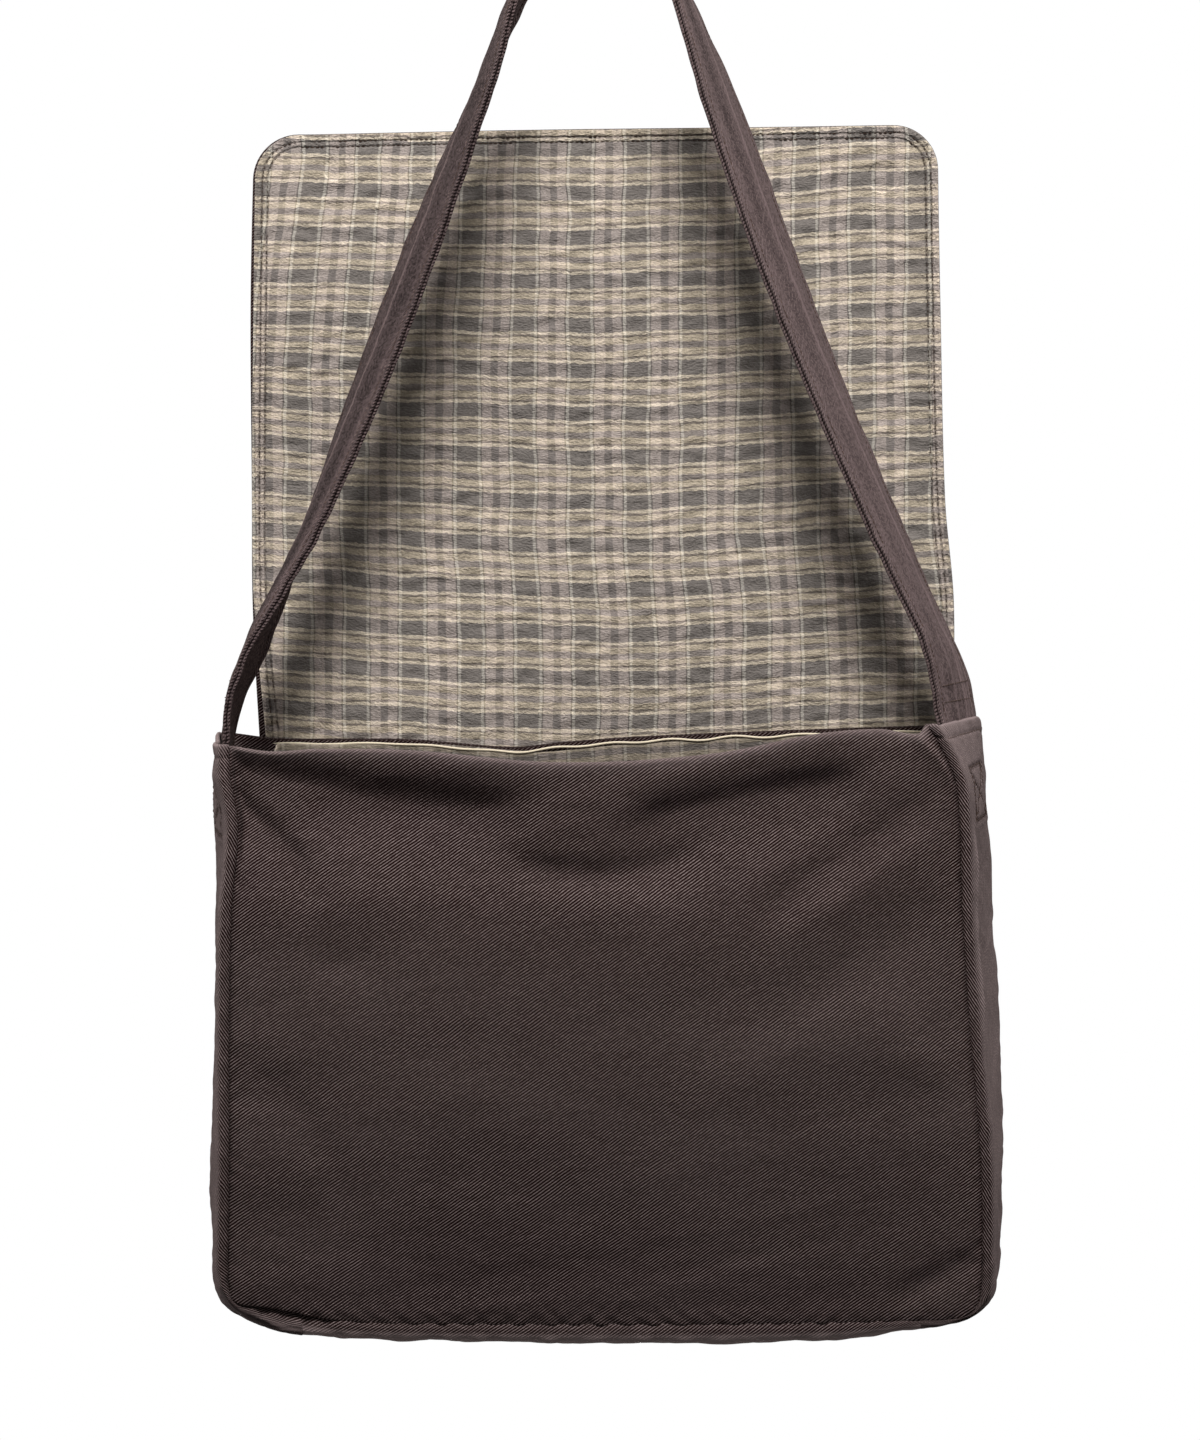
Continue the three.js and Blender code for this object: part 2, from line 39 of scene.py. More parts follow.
mm = 0.001  # shapes are worked out in millimetres and go into the meshes in metres
backwards = np.array([0.0, 1.0, 0.0])  # from the front of the bag to its back

# The camera looks level along +Y. Its frame is 600 x 720 mm where the strap hangs.
cameraView = {"distance": 2600, "height": -423, "frameHigh": 720, "sensor": 36}

cameraData = bpy.data.cameras.new("camera")
cameraData.sensor_width = cameraView["sensor"]
cameraData.lens = cameraView["sensor"] * cameraView["distance"] / cameraView["frameHigh"]
camera = bpy.data.objects.new("camera", cameraData)
camera.location = (0, -cameraView["distance"] * mm, cameraView["height"] * mm)
camera.rotation_euler = (np.pi / 2, 0, 0)
bpy.context.collection.objects.link(camera)
bpy.context.scene.camera = camera
print("camera placed")


# 0 below low, 1 above high, and three squares less two cubes of the share between
def smoothStep(value, low, high):
    share = np.clip((value - low) / (high - low), 0, 1)
    return share * share * (3 - 2 * share)


def between(a, b, share):  # straight from a to b
    return a + (b - a) * share


def bell(value, width):  # 1 at 0, and e to the power of minus the square of value over width
    return np.exp(-((value / width) ** 2))


def fade(distance, high, reach):  # high at 0, and e times less with each reach
    return high * np.exp(-distance / reach)


def unit(vectors):  # each vector over its own length
    return vectors / np.maximum(np.linalg.norm(vectors, axis=-1, keepdims=True), 1e-9)


def stacked(*values):  # coordinates spread over one grid, as points
    return np.stack(np.broadcast_arrays(*values), -1)


# A smooth curve through a table's points: cubic pieces that take their slope at a point from its two
# neighbours.
def through(keys, values, at):
    keys, values, at = (np.asarray(a, float) for a in (keys, values, at))
    last = len(keys) - 1
    step = np.arange(last + 1)
    before, after = np.maximum(step - 1, 0), np.minimum(step + 1, last)
    more = (1,) * (values.ndim - 1)
    slope = (values[after] - values[before]) / np.reshape(keys[after] - keys[before], (-1,) + more)
    at = np.clip(at, keys[0], keys[-1])
    i = np.clip(np.searchsorted(keys, at, side="right") - 1, 0, last - 1)
    span = np.reshape(keys[i + 1] - keys[i], at.shape + more)
    t = np.reshape(at - keys[i], at.shape + more) / span
    ahead = t * t * (3 - 2 * t)
    bend = span * t * (1 - t) * ((1 - t) * slope[i] - t * slope[i + 1])
    return values[i] * (1 - ahead) + values[i + 1] * ahead + bend


# Small waves of cloth: a sum of seeded plane waves, each with its own lengths and start, about 1 high in
# all.
def ripples(across, along, seed, acrossLengths, alongLengths, count=26):
    rng = np.random.default_rng(seed)
    total = np.zeros(np.broadcast(across, along).shape)
    for _ in range(count):
        waveAcross = rng.choice((-1, 1)) * 2 * np.pi / rng.uniform(*acrossLengths)
        waveAlong = 2 * np.pi / rng.uniform(*alongLengths)
        total += np.cos(waveAcross * across + waveAlong * along + rng.uniform(0, 2 * np.pi))
    return total * np.sqrt(2 / count)


# Layers of ripples added up. Each row is a height, a seed, shortest and longest waves across and along, and
# may end with a count.
def layered(across, along, rows):
    return sum(high * ripples(across, along, *row) for high, *row in rows)


# How far a round corner lifts an edge, at a distance from the side: the radius less the curve's height
# there. The curve is a circle, or squarer where squareness is above 2.
def cornerLift(distance, radius, squareness=2):
    inside = np.clip(1 - distance / radius, 0, 1)
    return radius * (1 - (1 - inside**squareness) ** (1 / squareness))


# Shares of a panel's width, spaced by angle inside each round corner and evenly between.
def panelColumns(width, radius, corner, middle):
    ends = radius * (1 - np.cos(np.linspace(0, np.pi / 2, corner + 1)[:-1])) / width
    return np.concatenate([ends, np.linspace(radius / width, 1 - radius / width, middle), 1 - ends[::-1]])


# Quads over a grid of vertex numbers. They face the first direction crossed with the second.
def gridFaces(index):
    return np.stack([index[:-1, :-1], index[1:, :-1], index[1:, 1:], index[:-1, 1:]], -1).reshape(-1, 4)


def gridIndex(grid):  # vertex numbers of a grid of points
    return np.arange(grid[..., 0].size).reshape(grid.shape[:2])


# Quads round a tube of rings, and one face over each end.
def tubeFaces(index):
    return [*gridFaces(np.hstack([index, index[:, :1]])), index[0][::-1], index[-1]]


# Normals of a grid of points, from its neighbours' differences.
def gridNormals(grid):
    return unit(np.cross(np.gradient(grid, axis=0), np.gradient(grid, axis=1)))


# Cloth with a thickness: two skins, and a rim whose rings swing in a half circle from one skin's edge to
# the other's. The place on the cloth goes on outwards round the rim by the length of that arc.
def clothSkins(outer, inner, place, rings=3):
    index = gridIndex(outer)
    count = index.size
    edge = np.concatenate([index[:-1, 0], index[-1, :-1], index[:0:-1, -1], index[0, :0:-1]])
    skins = np.concatenate([outer.reshape(-1, 3), inner.reshape(-1, 3)])
    middle = (skins[edge] + skins[edge + count]) / 2
    half = (skins[edge] - skins[edge + count]) / 2
    reach = np.linalg.norm(half, axis=1)[:, None]
    away = unit(np.cross(np.roll(middle, -1, 0) - np.roll(middle, 1, 0), half))
    swing = np.linspace(0, np.pi, rings + 2)[1:-1].reshape(-1, 1, 1)
    rim = middle + half * np.cos(swing) + away * reach * np.sin(swing)
    loops = np.vstack([edge, 2 * count + np.arange(rings * len(edge)).reshape(rings, -1), edge + count])
    loops = np.hstack([loops, loops[:, :1]])
    faces = np.concatenate([gridFaces(index), gridFaces(index + count)[:, ::-1], gridFaces(loops)])
    spots = place.reshape(-1, 3)
    x, y, _ = spots[edge].T
    turned = np.sign(np.sum(x * np.roll(y, -1) - np.roll(x, -1) * y))  # which way round the edge runs
    outward = unit(stacked(np.roll(y, -1) - np.roll(y, 1), np.roll(x, 1) - np.roll(x, -1), 0 * x)) * turned
    wrapped = spots[edge] + outward * swing * reach
    points = np.concatenate([skins, rim.reshape(-1, 3)])
    return points, faces, np.concatenate([spots, spots, wrapped.reshape(-1, 3)])


# Puts points, faces and each point's place on the cloth into a mesh that rides with the bag.
def makePiece(name, points, faces, place, material, slot, *nodes):
    mesh = bpy.data.meshes.new(name)
    mesh.from_pydata((points * mm).reshape(-1, 3).tolist(), [], [list(f) for f in faces])
    mesh.polygons.foreach_set("use_smooth", np.ones(len(mesh.polygons), bool))
    cloth = mesh.attributes.new("clothPlace", "FLOAT_VECTOR", "POINT")
    cloth.data.foreach_set("vector", np.asarray(place, np.float32).ravel())
    mesh.materials.append(material)
    piece = bpy.data.objects.new(name, mesh)
    bpy.context.collection.objects.link(piece)
    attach(piece, "root")
    if nodes:
        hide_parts(*nodes)
    print(f"{name}: {len(mesh.polygons)} faces")
    return piece


# A socket in a material. Arithmetic on it adds Math nodes, and node() adds any other.
class Wire:
    def __init__(self, tree, socket=None):
        self.tree, self.socket = tree, socket

    def node(self, kind, settings={}, inputs={}, output=0):
        made = self.tree.nodes.new("ShaderNode" + kind)
        for name, value in settings.items():
            if name == "stops":  # a ramp's (place, colour) rows
                while len(made.color_ramp.elements) < len(value):
                    made.color_ramp.elements.new(1)
                for stop, (at, tint) in zip(made.color_ramp.elements, value):
                    stop.position, stop.color = at, tint
            else:
                setattr(made, name, value)
        for name, value in inputs.items():
            if isinstance(value, Wire):
                self.tree.links.new(value.socket, made.inputs[name])
            else:
                made.inputs[name].default_value = value
        return Wire(self.tree, made.outputs[output] if made.outputs else None)

    def pick(self, output):  # another output of the same node
        return Wire(self.tree, self.socket.node.outputs[output])

    def math(self, operation, *values):
        return self.node("Math", {"operation": operation}, dict(enumerate(values)))

    def apply(self, operation):  # a function of this value alone
        return self.math(operation, self)

    def __add__(self, other):
        return self.math("ADD", self, other)

    def __sub__(self, other):
        return self.math("SUBTRACT", self, other)

    def __rsub__(self, other):
        return self.math("SUBTRACT", other, self)

    def __mul__(self, other):
        return self.math("MULTIPLY", self, other)

    def __truediv__(self, other):
        return self.math("DIVIDE", self, other)

    __radd__, __rmul__ = __add__, __mul__

    def limited(self):  # kept from 0 to 1
        return self.node("Clamp", {}, {"Value": self})

    def mixed(self, a, b):  # colour a to colour b by this share
        return self.node("Mix", {"data_type": "RGBA"}, {0: self, 6: a, 7: b}, 2)

    def times(self, other):  # this colour by another, channel by channel
        settings = {"data_type": "RGBA", "blend_type": "MULTIPLY"}
        return self.node("Mix", settings, {0: 1.0, 6: self, 7: other}, 2)

    def noise(self, place, scale, detail=2.0):
        return self.node("TexNoise", {}, {"Vector": place, "Scale": scale, "Detail": detail})

    def grain(self, across, along, acrossScale, alongScale):  # noise with a scale for each way
        return self.noise(self.vector(across * acrossScale, along * alongScale), 1.0, 3.0)

    def vector(self, x, y, z=0.0):
        return self.node("CombineXYZ", {}, {0: x, 1: y, 2: z})


def colour(red, green, blue, light=1.0):  # a screen colour from 0 to 255, as linear light times a factor
    screen = np.array([red, green, blue]) / 255
    linear = np.where(screen > 0.04045, ((screen + 0.055) / 1.055) ** 2.4, screen / 12.92)
    return (*(linear * light), 1.0)


# Starts a material on the cloth's own place: that place, its parts across and along, and the third value.
def startCloth(name):
    material = bpy.data.materials.new(name)
    material.use_nodes = True
    tree = material.node_tree
    tree.nodes.clear()
    place = Wire(tree).node("Attribute", {"attribute_name": "clothPlace"}, output="Vector")
    split = place.node("SeparateXYZ", {}, {0: place})
    return material, place, split.pick("X"), split.pick("Y"), split.pick("Z")


# Ends it: colour, roughness and a bump of the height, depth millimetres for 1, in one cloth shader.
def endCloth(place, baseColour, roughness, height, depth, sheen, specular=0.12):
    bump = place.node("Bump", {}, {"Height": height, "Strength": 1.0, "Distance": depth * mm})
    shader = place.node("BsdfPrincipled", {}, {
        "Base Color": baseColour, "Roughness": roughness, "Normal": bump, "Specular IOR Level": specular,
        "Sheen Weight": sheen, "Sheen Roughness": 0.55, "Sheen Tint": (0.75, 0.68, 0.65, 1)})
    place.node("OutputMaterial", {}, {"Surface": shader})


# What both twills share: scales of their noises a millimetre, and how the floats lie, wear and shine.
twillWeave = {
    "bend": 0.02, "stray": 0.5, "fuzz": 1.3, "streak": (0.04, 0.6), "patch": (0.35, 0.03),
    "drift": (0.3, 0.015), "ribShift": 0.381, "floatLean": 0.6, "floatRise": 0.3, "wornFlat": 0.6,
    "patchTone": 0.1, "fuzzRise": (0.7, 0.6), "rough": 0.97, "shine": 0.14, "specular": 0.03,
    "dotLean": 1.3, "dotTone": 0.45, "dotFuzz": 0.3,
}


# Twill: slanting ribs of short raised floats. The rib's number is the whole part of the distance square to
# the ribs over their spacing, a rib stands up as a sine, and each rib's floats start a fixed share further
# along than its neighbour's.
def twillCloth(name, look):
    weave = twillWeave
    material, place, across, along, wearAndPaintedLight = startCloth(name)
    lean = np.radians(look["lean"])
    bend = place.noise(place, weave["bend"]) - 0.5
    stray = place.noise(place, weave["stray"]) - 0.5
    run = across * np.cos(lean) + along * np.sin(lean)
    square = along * np.cos(lean) - across * np.sin(lean)
    square = (square + bend * look["bend"] + stray * look["stray"]) / look["ribEvery"]
    rib = square.apply("FLOOR")
    hump = ((square - rib) * np.pi).apply("SINE")
    thread = run / look["floatLong"] + rib * weave["ribShift"] + (square - rib) * weave["floatLean"]
    number = thread.apply("FLOOR")
    swell = ((thread - number) * np.pi).apply("SINE")
    chance = place.node("TexWhiteNoise", {"noise_dimensions": "2D"}, {"Vector": place.vector(rib, number)})
    streak = place.grain(across, along, *weave["streak"])
    fuzz = place.noise(place, weave["fuzz"])
    patch = place.noise(place.vector(across * weave["patch"][0], along), weave["patch"][1], 3.0) - 0.5
    drift = place.grain(across, along, *weave["drift"]) - 0.5
    raised = hump.math("POWER", hump, look["sharp"]) * (swell * weave["floatRise"] + (1 - weave["floatRise"]))
    uneven = chance * look["chance"] + streak * look["streak"] + fuzz * look["fuzz"] + look["even"]
    # the third value makes the cloth paler or darker: real wear, and painted light and shade laid on by the
    # pieces
    tone = raised * uneven * (1 - wearAndPaintedLight.limited() * weave["wornFlat"]) + wearAndPaintedLight * look["lightAndWear"]
    tone = tone + patch * weave["patchTone"] + drift * look["drift"]
    if "edgeDots" in look:
        middle, half, every = look["edgeDots"]
        offEdge = across.apply("ABSOLUTE") - middle
        onEdge = (3.0 - offEdge.apply("ABSOLUTE") * (3.0 / half)).limited()
        turns = along * (2 * np.pi / every) + across * weave["dotLean"]
        # a rope of pale dots along the edge: partly the edge's own pattern, partly painted light that
        # brightens it
        tone = tone + onEdge * (turns.apply("SINE") * weave["dotTone"] + fuzz * weave["dotFuzz"])
    tone = tone.limited()
    ground = (patch + 0.5).limited().mixed(look["ground"], look["groundWarm"])
    least, more = weave["fuzzRise"]
    endCloth(place, tone.mixed(ground, look["float"]), weave["rough"] - tone * weave["shine"],
             raised * (least + fuzz * more), look["depth"], look["sheen"], weave["specular"])
    return material


bodyTwill = twillCloth("bodyTwill", {
    "lean": 35, "ribEvery": 1.3, "floatLong": 1.9, "bend": 3.0, "stray": 0.25, "sharp": 6.0, "depth": 0.3,
    "chance": 0.3, "streak": 0.45, "fuzz": 0.5, "even": 0.15, "lightAndWear": 0.5, "drift": 0.0, "sheen": 0.015,
    "ground": colour(25, 12, 10), "groundWarm": colour(29, 15, 13), "float": colour(165, 147, 145)})
strapTwill = twillCloth("strapTwill", {
    "lean": -57, "ribEvery": 1.1, "floatLong": 1.0, "bend": 2.0, "stray": 0.5, "sharp": 0.9, "depth": 0.25,
    "chance": 0.6, "streak": 0.1, "fuzz": 1.3, "even": -0.15, "lightAndWear": 0.8, "drift": 0.35, "sheen": 0.03,
    "edgeDots": (20.9, 2.3, 1.8),  # from the middle line, half width, spacing
    "ground": colour(25, 18, 18), "groundWarm": colour(29, 21, 21), "float": colour(110, 94, 93)})


# Ramp stops for a row of stripes: each holds its colour to near its edge and then turns into the next.
def stripeStops(stripes, soft, light):
    share = np.array([s[0] for s in stripes], float)
    ends = np.cumsum(share) / share.sum()
    starts = ends - share / share.sum()
    edges = np.stack([starts + soft, ends - soft], 1)
    return [(float(at), colour(*s[1], light)) for s, pair in zip(stripes, edges) for at in pair]


checkedLook = {
    "warpRepeat": 28.8, "weftRepeat": 22.5, "soft": 0.009, "thread": 0.62, "light": 1.06, "depth": 1.0,
    "sheen": 0.03, "rough": (0.94, 0.1), "rows": (3.2, 5.9), "rowHalf": 0.55, "border": 1.5,
    "discs": [(133.1, 92.7, 8.0), (-155.0, 82.5, 6.0)],  # marks pressed into the cloth: place and radius
    "wander": (4.0, 0.03), "quiver": (1.1, 1.9), "turns": (0.2, 0.6, 0.9),  # amounts and noise scales
    "fleck": (0.5, 1.2), "crinkle": (0.06, 0.16), "pucker": 0.55,  # noise scales
    # what makes the cloth paler, with painted highlights on the marks' lower rims and painted light and shade
    # on the puckers, and what makes it stand up
    "pale": {"fleck": 0.8, "crinkle": 0.16, "pucker": 0.9, "rubbed": 0.5}, "dull": 0.5, "sewnShade": 0.36,
    "relief": {"crinkle": 1.6, "fleck": 0.95, "basket": 0.05, "pucker": 1.4, "sewn": -0.7, "sunk": -0.4},
    "warp": [  # share of the repeat and colour
        (5.0, (197, 190, 179)), (36.6, (121, 114, 108)), (5, (191, 184, 173)), (2.4, (103, 95, 89)),
        (17.4, (182, 168, 160)), (13.4, (125, 116, 111)), (16.6, (182, 168, 160)), (2.4, (103, 95, 89))],
    "weft": [
        (33, (111, 105, 101)), (7, (228, 212, 187)), (5.5, (125, 113, 101)), (13.7, (212, 195, 168)),
        (14, (150, 139, 132)), (13.7, (212, 195, 168)), (5.5, (125, 113, 101)), (7, (228, 212, 187))],
}


# Checked cotton: a ramp of stripes along the warp, another along the weft, and a fine basket of threads,
# the product of two sines, that takes turns between them. Noises wander, crinkle and fleck it.
def checkedCloth(name, look):
    material, place, across, along, inside = startCloth(name)
    far, scale = look["wander"]
    wander = place.noise(place, scale) - 0.5
    wanderTwo = place.noise(place.vector(along, across, 40.0), scale) - 0.5
    quiver = place.noise(place.vector(across * 0.7, along), 0.5, 3.0) - 0.5
    u = across + wander * far + quiver * look["quiver"][0]
    v = along + wanderTwo * far + quiver * look["quiver"][1]
    stripes = []
    for stretch, thread in ((u, "warp"), (v, "weft")):
        stops = stripeStops(look[thread], look["soft"], look["light"])
        at = (stretch / look[thread + "Repeat"]).apply("FRACT")
        stripes.append(place.node("ValToRGB", {"stops": stops}, {"Fac": at}))
    turn = 2 * np.pi / look["thread"]
    basket = (u * turn).apply("SINE") * (v * turn).apply("SINE")
    evenly, loosely, scale = look["turns"]
    over = (basket * evenly + 0.5 + (place.noise(place, scale) - 0.5) * loosely).limited()
    sewn, sunk, rubbed = 0.0, 0.0, 0.0
    for row in look["rows"]:
        off = (inside - row) / look["rowHalf"]
        sewn = sewn + (0 - off * off).apply("EXPONENT")
    for atAcross, atAlong, radius in look["discs"]:  # sunk inside, with a painted highlight along the lower edge
        offAcross, offAlong = across - atAcross, along - atAlong
        within = radius - (offAcross * offAcross + offAlong * offAlong).apply("SQRT")
        sunk = sunk + (within + 0.5).limited()
        rubbed = rubbed + (1 - within.apply("ABSOLUTE") * 1.6).limited() * (offAlong / radius).limited()
    border = (look["rows"][1] + look["border"] - inside).limited()
    fleck, crinkle = place.grain(u, v, *look["fleck"]), place.grain(u, v, *look["crinkle"])
    # the puckers near the edge also pale and darken the tint: painted light and shade of their ripples
    pucker = (place.noise(place, look["pucker"]) - 0.5) * border
    parts = {"fleck": fleck, "crinkle": crinkle, "pucker": pucker, "basket": basket,
             "sewn": sewn, "sunk": sunk, "rubbed": rubbed}
    tint = look["dull"] + sum(parts[name] * share for name, share in look["pale"].items())
    # painted shade along the stitch rows
    tint = tint * (1.0 - sewn * look["sewnShade"])
    height = sum(parts[name] * share for name, share in look["relief"].items())
    base = over.mixed(*stripes).times(place.vector(tint, tint, tint))
    rough, shine = look["rough"]
    endCloth(place, base, rough - fleck * shine, height, look["depth"], look["sheen"])
    return material


checkedCotton = checkedCloth("checkedCotton", checkedLook)
# painted shade: the pouch's lining is a darker copy of the checked cotton, standing in for the shade inside
# the bag
shadedInsideCotton = checkedCloth("shadedInsideCotton", {**checkedLook, "light": 0.55, "discs": []})  # for the pouch


threadLook = {"twist": (9.0, 7.0), "tone": (0.6, 0.4), "rough": (0.8, 0.15), "depth": 0.05, "sheen": 0.05}


# Sewing thread: two strands twisted round each other, as a sine of the place.
def threadCloth(name, dark, light, look=threadLook):
    material, place, across, along, chance = startCloth(name)
    (turnAcross, turnAlong), (ofStrand, ofChance), (rough, shine) = look["twist"], look["tone"], look["rough"]
    strand = (across * turnAcross + along * turnAlong).apply("SINE") * 0.5 + 0.5
    tone = (strand * ofStrand + chance * ofChance).limited()
    endCloth(place, tone.mixed(dark, light), rough - strand * shine, strand, look["depth"], look["sheen"])
    return material


darkThread = threadCloth("darkThread", colour(38, 27, 23), colour(88, 68, 58))
creamThread = threadCloth("creamThread", colour(196, 180, 150), colour(240, 228, 206))
print("materials made")

# The body: sections down from the mouth level. Seams and outermost lines of both sides, how deep they lie,
# and how far the side is dented behind its front edge.
mouthZ = -430
sections = {
    "drop": (-8, 20, 45, 90, 150, 210, 270, 300),
    "leftFront": (-183, -182, -178, -181, -182, -182, -183, -183),
    "rightFront": (160, 174, 177, 178, 182, 187, 188, 188),
    "leftSide": (-189.4, -192.4, -192.2, -192, -192.4, -195, -193, -191.5),
    "rightSide": (189.8, 193.6, 195.5, 198, 201.5, 202.5, 200.5, 199),
    "leftBack": (-186, -186, -187, -187, -188, -189, -189, -189),
    "rightBack": (187, 187, 188, 189, 191, 193, 193, 192),
    "frontY": (-36, -40, -43, -46, -47, -46, -41, -38),
    "backY": (44, 45, 46, 47, 47, 46, 43, 42),
    "leftDeep": (0, 0, 2, 4, 6, 6, 6, 6),
    "rightDeep": (18, 18, 20, 22, 20, 16, 10, 8),
    "leftDent": (0, 0, 1, 2, 1, 0, 0, 0),
    "rightDent": (0, 0, 0.5, 5, 4, 1, 0, 0),
}
bottomLine = {
    "x": (-182, -167, -153, -138, -120, -90, 30, 115, 150, 168, 195),
    "front": (-711, -711.4, -713.7, -716.9, -719, -720, -720.5, -719.5, -718.5, -718, -717.5),
    "lowest": (-724.8, -725, -726.2, -728, -729, -730, -731.5, -729.8, -724.8, -722.8, -722.3),
}
frontEdge = {
    "x": (-184, -163, -140, -95, -42, -15, 19, 59, 105, 138, 156, 165),
    "z": (-437, -440, -438.8, -439.4, -444.5, -445.3, -444, -440, -431.5, -429, -431.3, -425.5),
}
backEdge = {
    "x": (-188, -166, -100, -44, -17, 20, 96, 188),
    "z": (-430.5, -433, -433.4, -437.3, -434.8, -432.2, -429, -426),
}


def section(column, z):  # a column of the table, smooth down the body
    return through(sections["drop"], sections[column], mouthZ - z)


def bottomAt(column, x):  # a line of the bottom, smooth across
    return through(bottomLine["x"], bottomLine[column], x)


def frontTop(x):  # the front's top edge, smooth across
    return through(frontEdge["x"], frontEdge["z"], x)


def backTop(x):  # the back's top edge, smooth across
    return through(backEdge["x"], backEdge["z"], x)


# The columns of a panel: their shares of its width, how far they are from its nearer side, and where they
# meet its bottom.
def panelFrame(name, look):
    cornerZ = look["bottom"] + look["radius"]
    left, right = section("left" + name, cornerZ), section("right" + name, cornerZ)
    across = panelColumns(right - left, look["radius"], look["corner"], look["columns"])[:, None]
    return across, np.minimum(across, 1 - across) * (right - left), between(left, right, across)


frontShape = {
    "bottom": -720, "radius": 28, "squareness": (7, 4.5), "thick": 1.6, "hemThick": 3.2, "hemDepth": 18,
    "down": (0, 0.1, 0.25, 0.4, 0.6, 0.8, 1), "swell": (10.8, 9.8, 10.8, 11.9, 11.2, 6.5, 0), "flatness": 0.6,
    "corner": 18, "columns": 146, "rows": 160, "crowding": 0.1,
    "slack": [(0.22, 11, (120, 400), (26, 70)), (0.08, 12, (30, 90), (9, 22))],  # rows for layered()
    "pucker": [(0.3, 13, (7, 14), (7, 14))], "puckerReach": 7,
    # how much, and how far in
    "sideDip": (1.9, 2.4), "lowDip": (0.665, 2.4), "hemWorn": (0.5, 3.0), "seamDark": (0.3, 0.9),
    # painted shade over the upper front: how much, and from where to where below the hem
    "paintedTopShade": (0.13, 65, 120),
    "folds": [  # three points of a parabola in x and z, depth inwards, width above and below the line
        (-212, -440, -112, -462, -24, -471, 11.0, 13, 34), (2, -478, 74, -462, 138, -453, 9.5, 11, 32),
        (-48, -492, 2, -499, 54, -487, 5.0, 8, 9), (-165, -466, -25, -523, 145, -460, -1.8, 15, 48),
        (-214, -427, -168, -473, -136, -503, 5.2, 8, 22), (70, -522, 123, -487, 172, -455, 2.6, 9, 12),
        (84, -535, 118, -512, 170, -478, -2.0, 9, 14), (60, -584, 115, -552, 172, -512, 2.2, 16, 20),
        (-144, -541, -128, -543, -110, -541, 1.6, 9, 10), (-186, -590, -152, -609, -118, -655, 1.8, 10, 24),
        (50, -606, 113, -579, 178, -600, -2.6, 30, 14), (140, -712, 164, -698, 206, -678, 2.0, 8, 9),
        (152, -428, 166, -442, 180, -462, -3.0, 4, 5)],
}


# Depth of the folds: each is a bell across a parabola through its three points, faded in and out along it.
def foldDepth(x, z, folds):
    total = np.zeros(np.broadcast(x, z).shape)
    for x0, z0, x1, z1, x2, z2, depth, above, below in folds:
        line = (z0 * (x - x1) * (x - x2) / ((x0 - x1) * (x0 - x2))
                + z1 * (x - x0) * (x - x2) / ((x1 - x0) * (x1 - x2))
                + z2 * (x - x0) * (x - x1) / ((x2 - x0) * (x2 - x1)))
        soft = 0.22 * (x2 - x0)
        ends = smoothStep(x, x0 - 4, x0 + soft) * (1 - smoothStep(x, x2 - soft, x2 + 4))
        total += depth * ends * bell(z - line, np.where(z > line, above, below))
    return total


# How far the front stands out of its seams' plane: a flat-topped arch across times a smooth curve down.
def frontSwell(across, down):
    arch = np.clip(1 - (2 * across - 1) ** 2, 0, 1) ** frontShape["flatness"]
    return arch * through(frontShape["down"], frontShape["swell"], down)


# The front: straight from seam to seam at each height, swelled, folded, pulled in along its seams and
# puckered there.
def makeFront(look):
    across, fromSide, edgeX = panelFrame("Front", look)
    up = np.linspace(0, 1, look["rows"])[None, :]
    down = np.clip(1 - up + look["crowding"] * np.sin(2 * np.pi * up), 0, 1)  # rows closer at top and bottom
    squareness = np.where(across < 0.5, *look["squareness"])
    bottom = bottomAt("front", edgeX) + cornerLift(fromSide, look["radius"], squareness)
    top = frontTop(between(section("leftFront", mouthZ), section("rightFront", mouthZ), across))
    z = between(top, bottom, down)
    x = between(section("leftFront", z), section("rightFront", z), across)
    seam = np.minimum(fromSide + 0 * z, z - bottom)
    hold = smoothStep(fromSide, 0.1, 3) * smoothStep(z - bottom, 1, 12)
    loose = foldDepth(x, z, look["folds"]) + layered(x, z, look["slack"])
    tuck = fade(seam, 1, look["puckerReach"]) * layered(x, z, look["pucker"])
    dip = fade(fromSide, *look["sideDip"]) + fade(z - bottom, *look["lowDip"])
    y = section("frontY", z) - frontSwell(across, down) + hold * loose + dip + tuck
    outer = stacked(x, y, z)
    belowHem = smoothStep(top - z, look["hemDepth"] / 2, look["hemDepth"])
    inner = outer + between(look["hemThick"], look["thick"], belowHem)[..., None] * backwards
    topShade, *under = look["paintedTopShade"]
    wearAndPaintedLight = fade(top - z, *look["hemWorn"]) - fade(fromSide, *look["seamDark"])
    # painted shade: the upper front darker, fading out between the two depths below the top
    wearAndPaintedLight = wearAndPaintedLight - topShade * (1 - smoothStep(top - z, *under))
    skins = clothSkins(outer, inner, stacked(x, z, wearAndPaintedLight))
    return makePiece("frontPanel", *skins, bodyTwill, "brown_twill", "front_panel")


frontPanel = makeFront(frontShape)

backShape = {
    "bottom": -722, "radius": 18, "swell": 5, "thick": 1.6, "corner": 10, "columns": 110, "rows": 110,
    "seamDip": (1.0, 3.0), "seamWorn": (0.25, 2.5), "edgeDark": (0.5, 2.0), "belowFlap": (30, 70),
    "slack": [(0.6, 21, (110, 300), (60, 180)), (0.12, 22, (20, 60), (14, 36))],
}


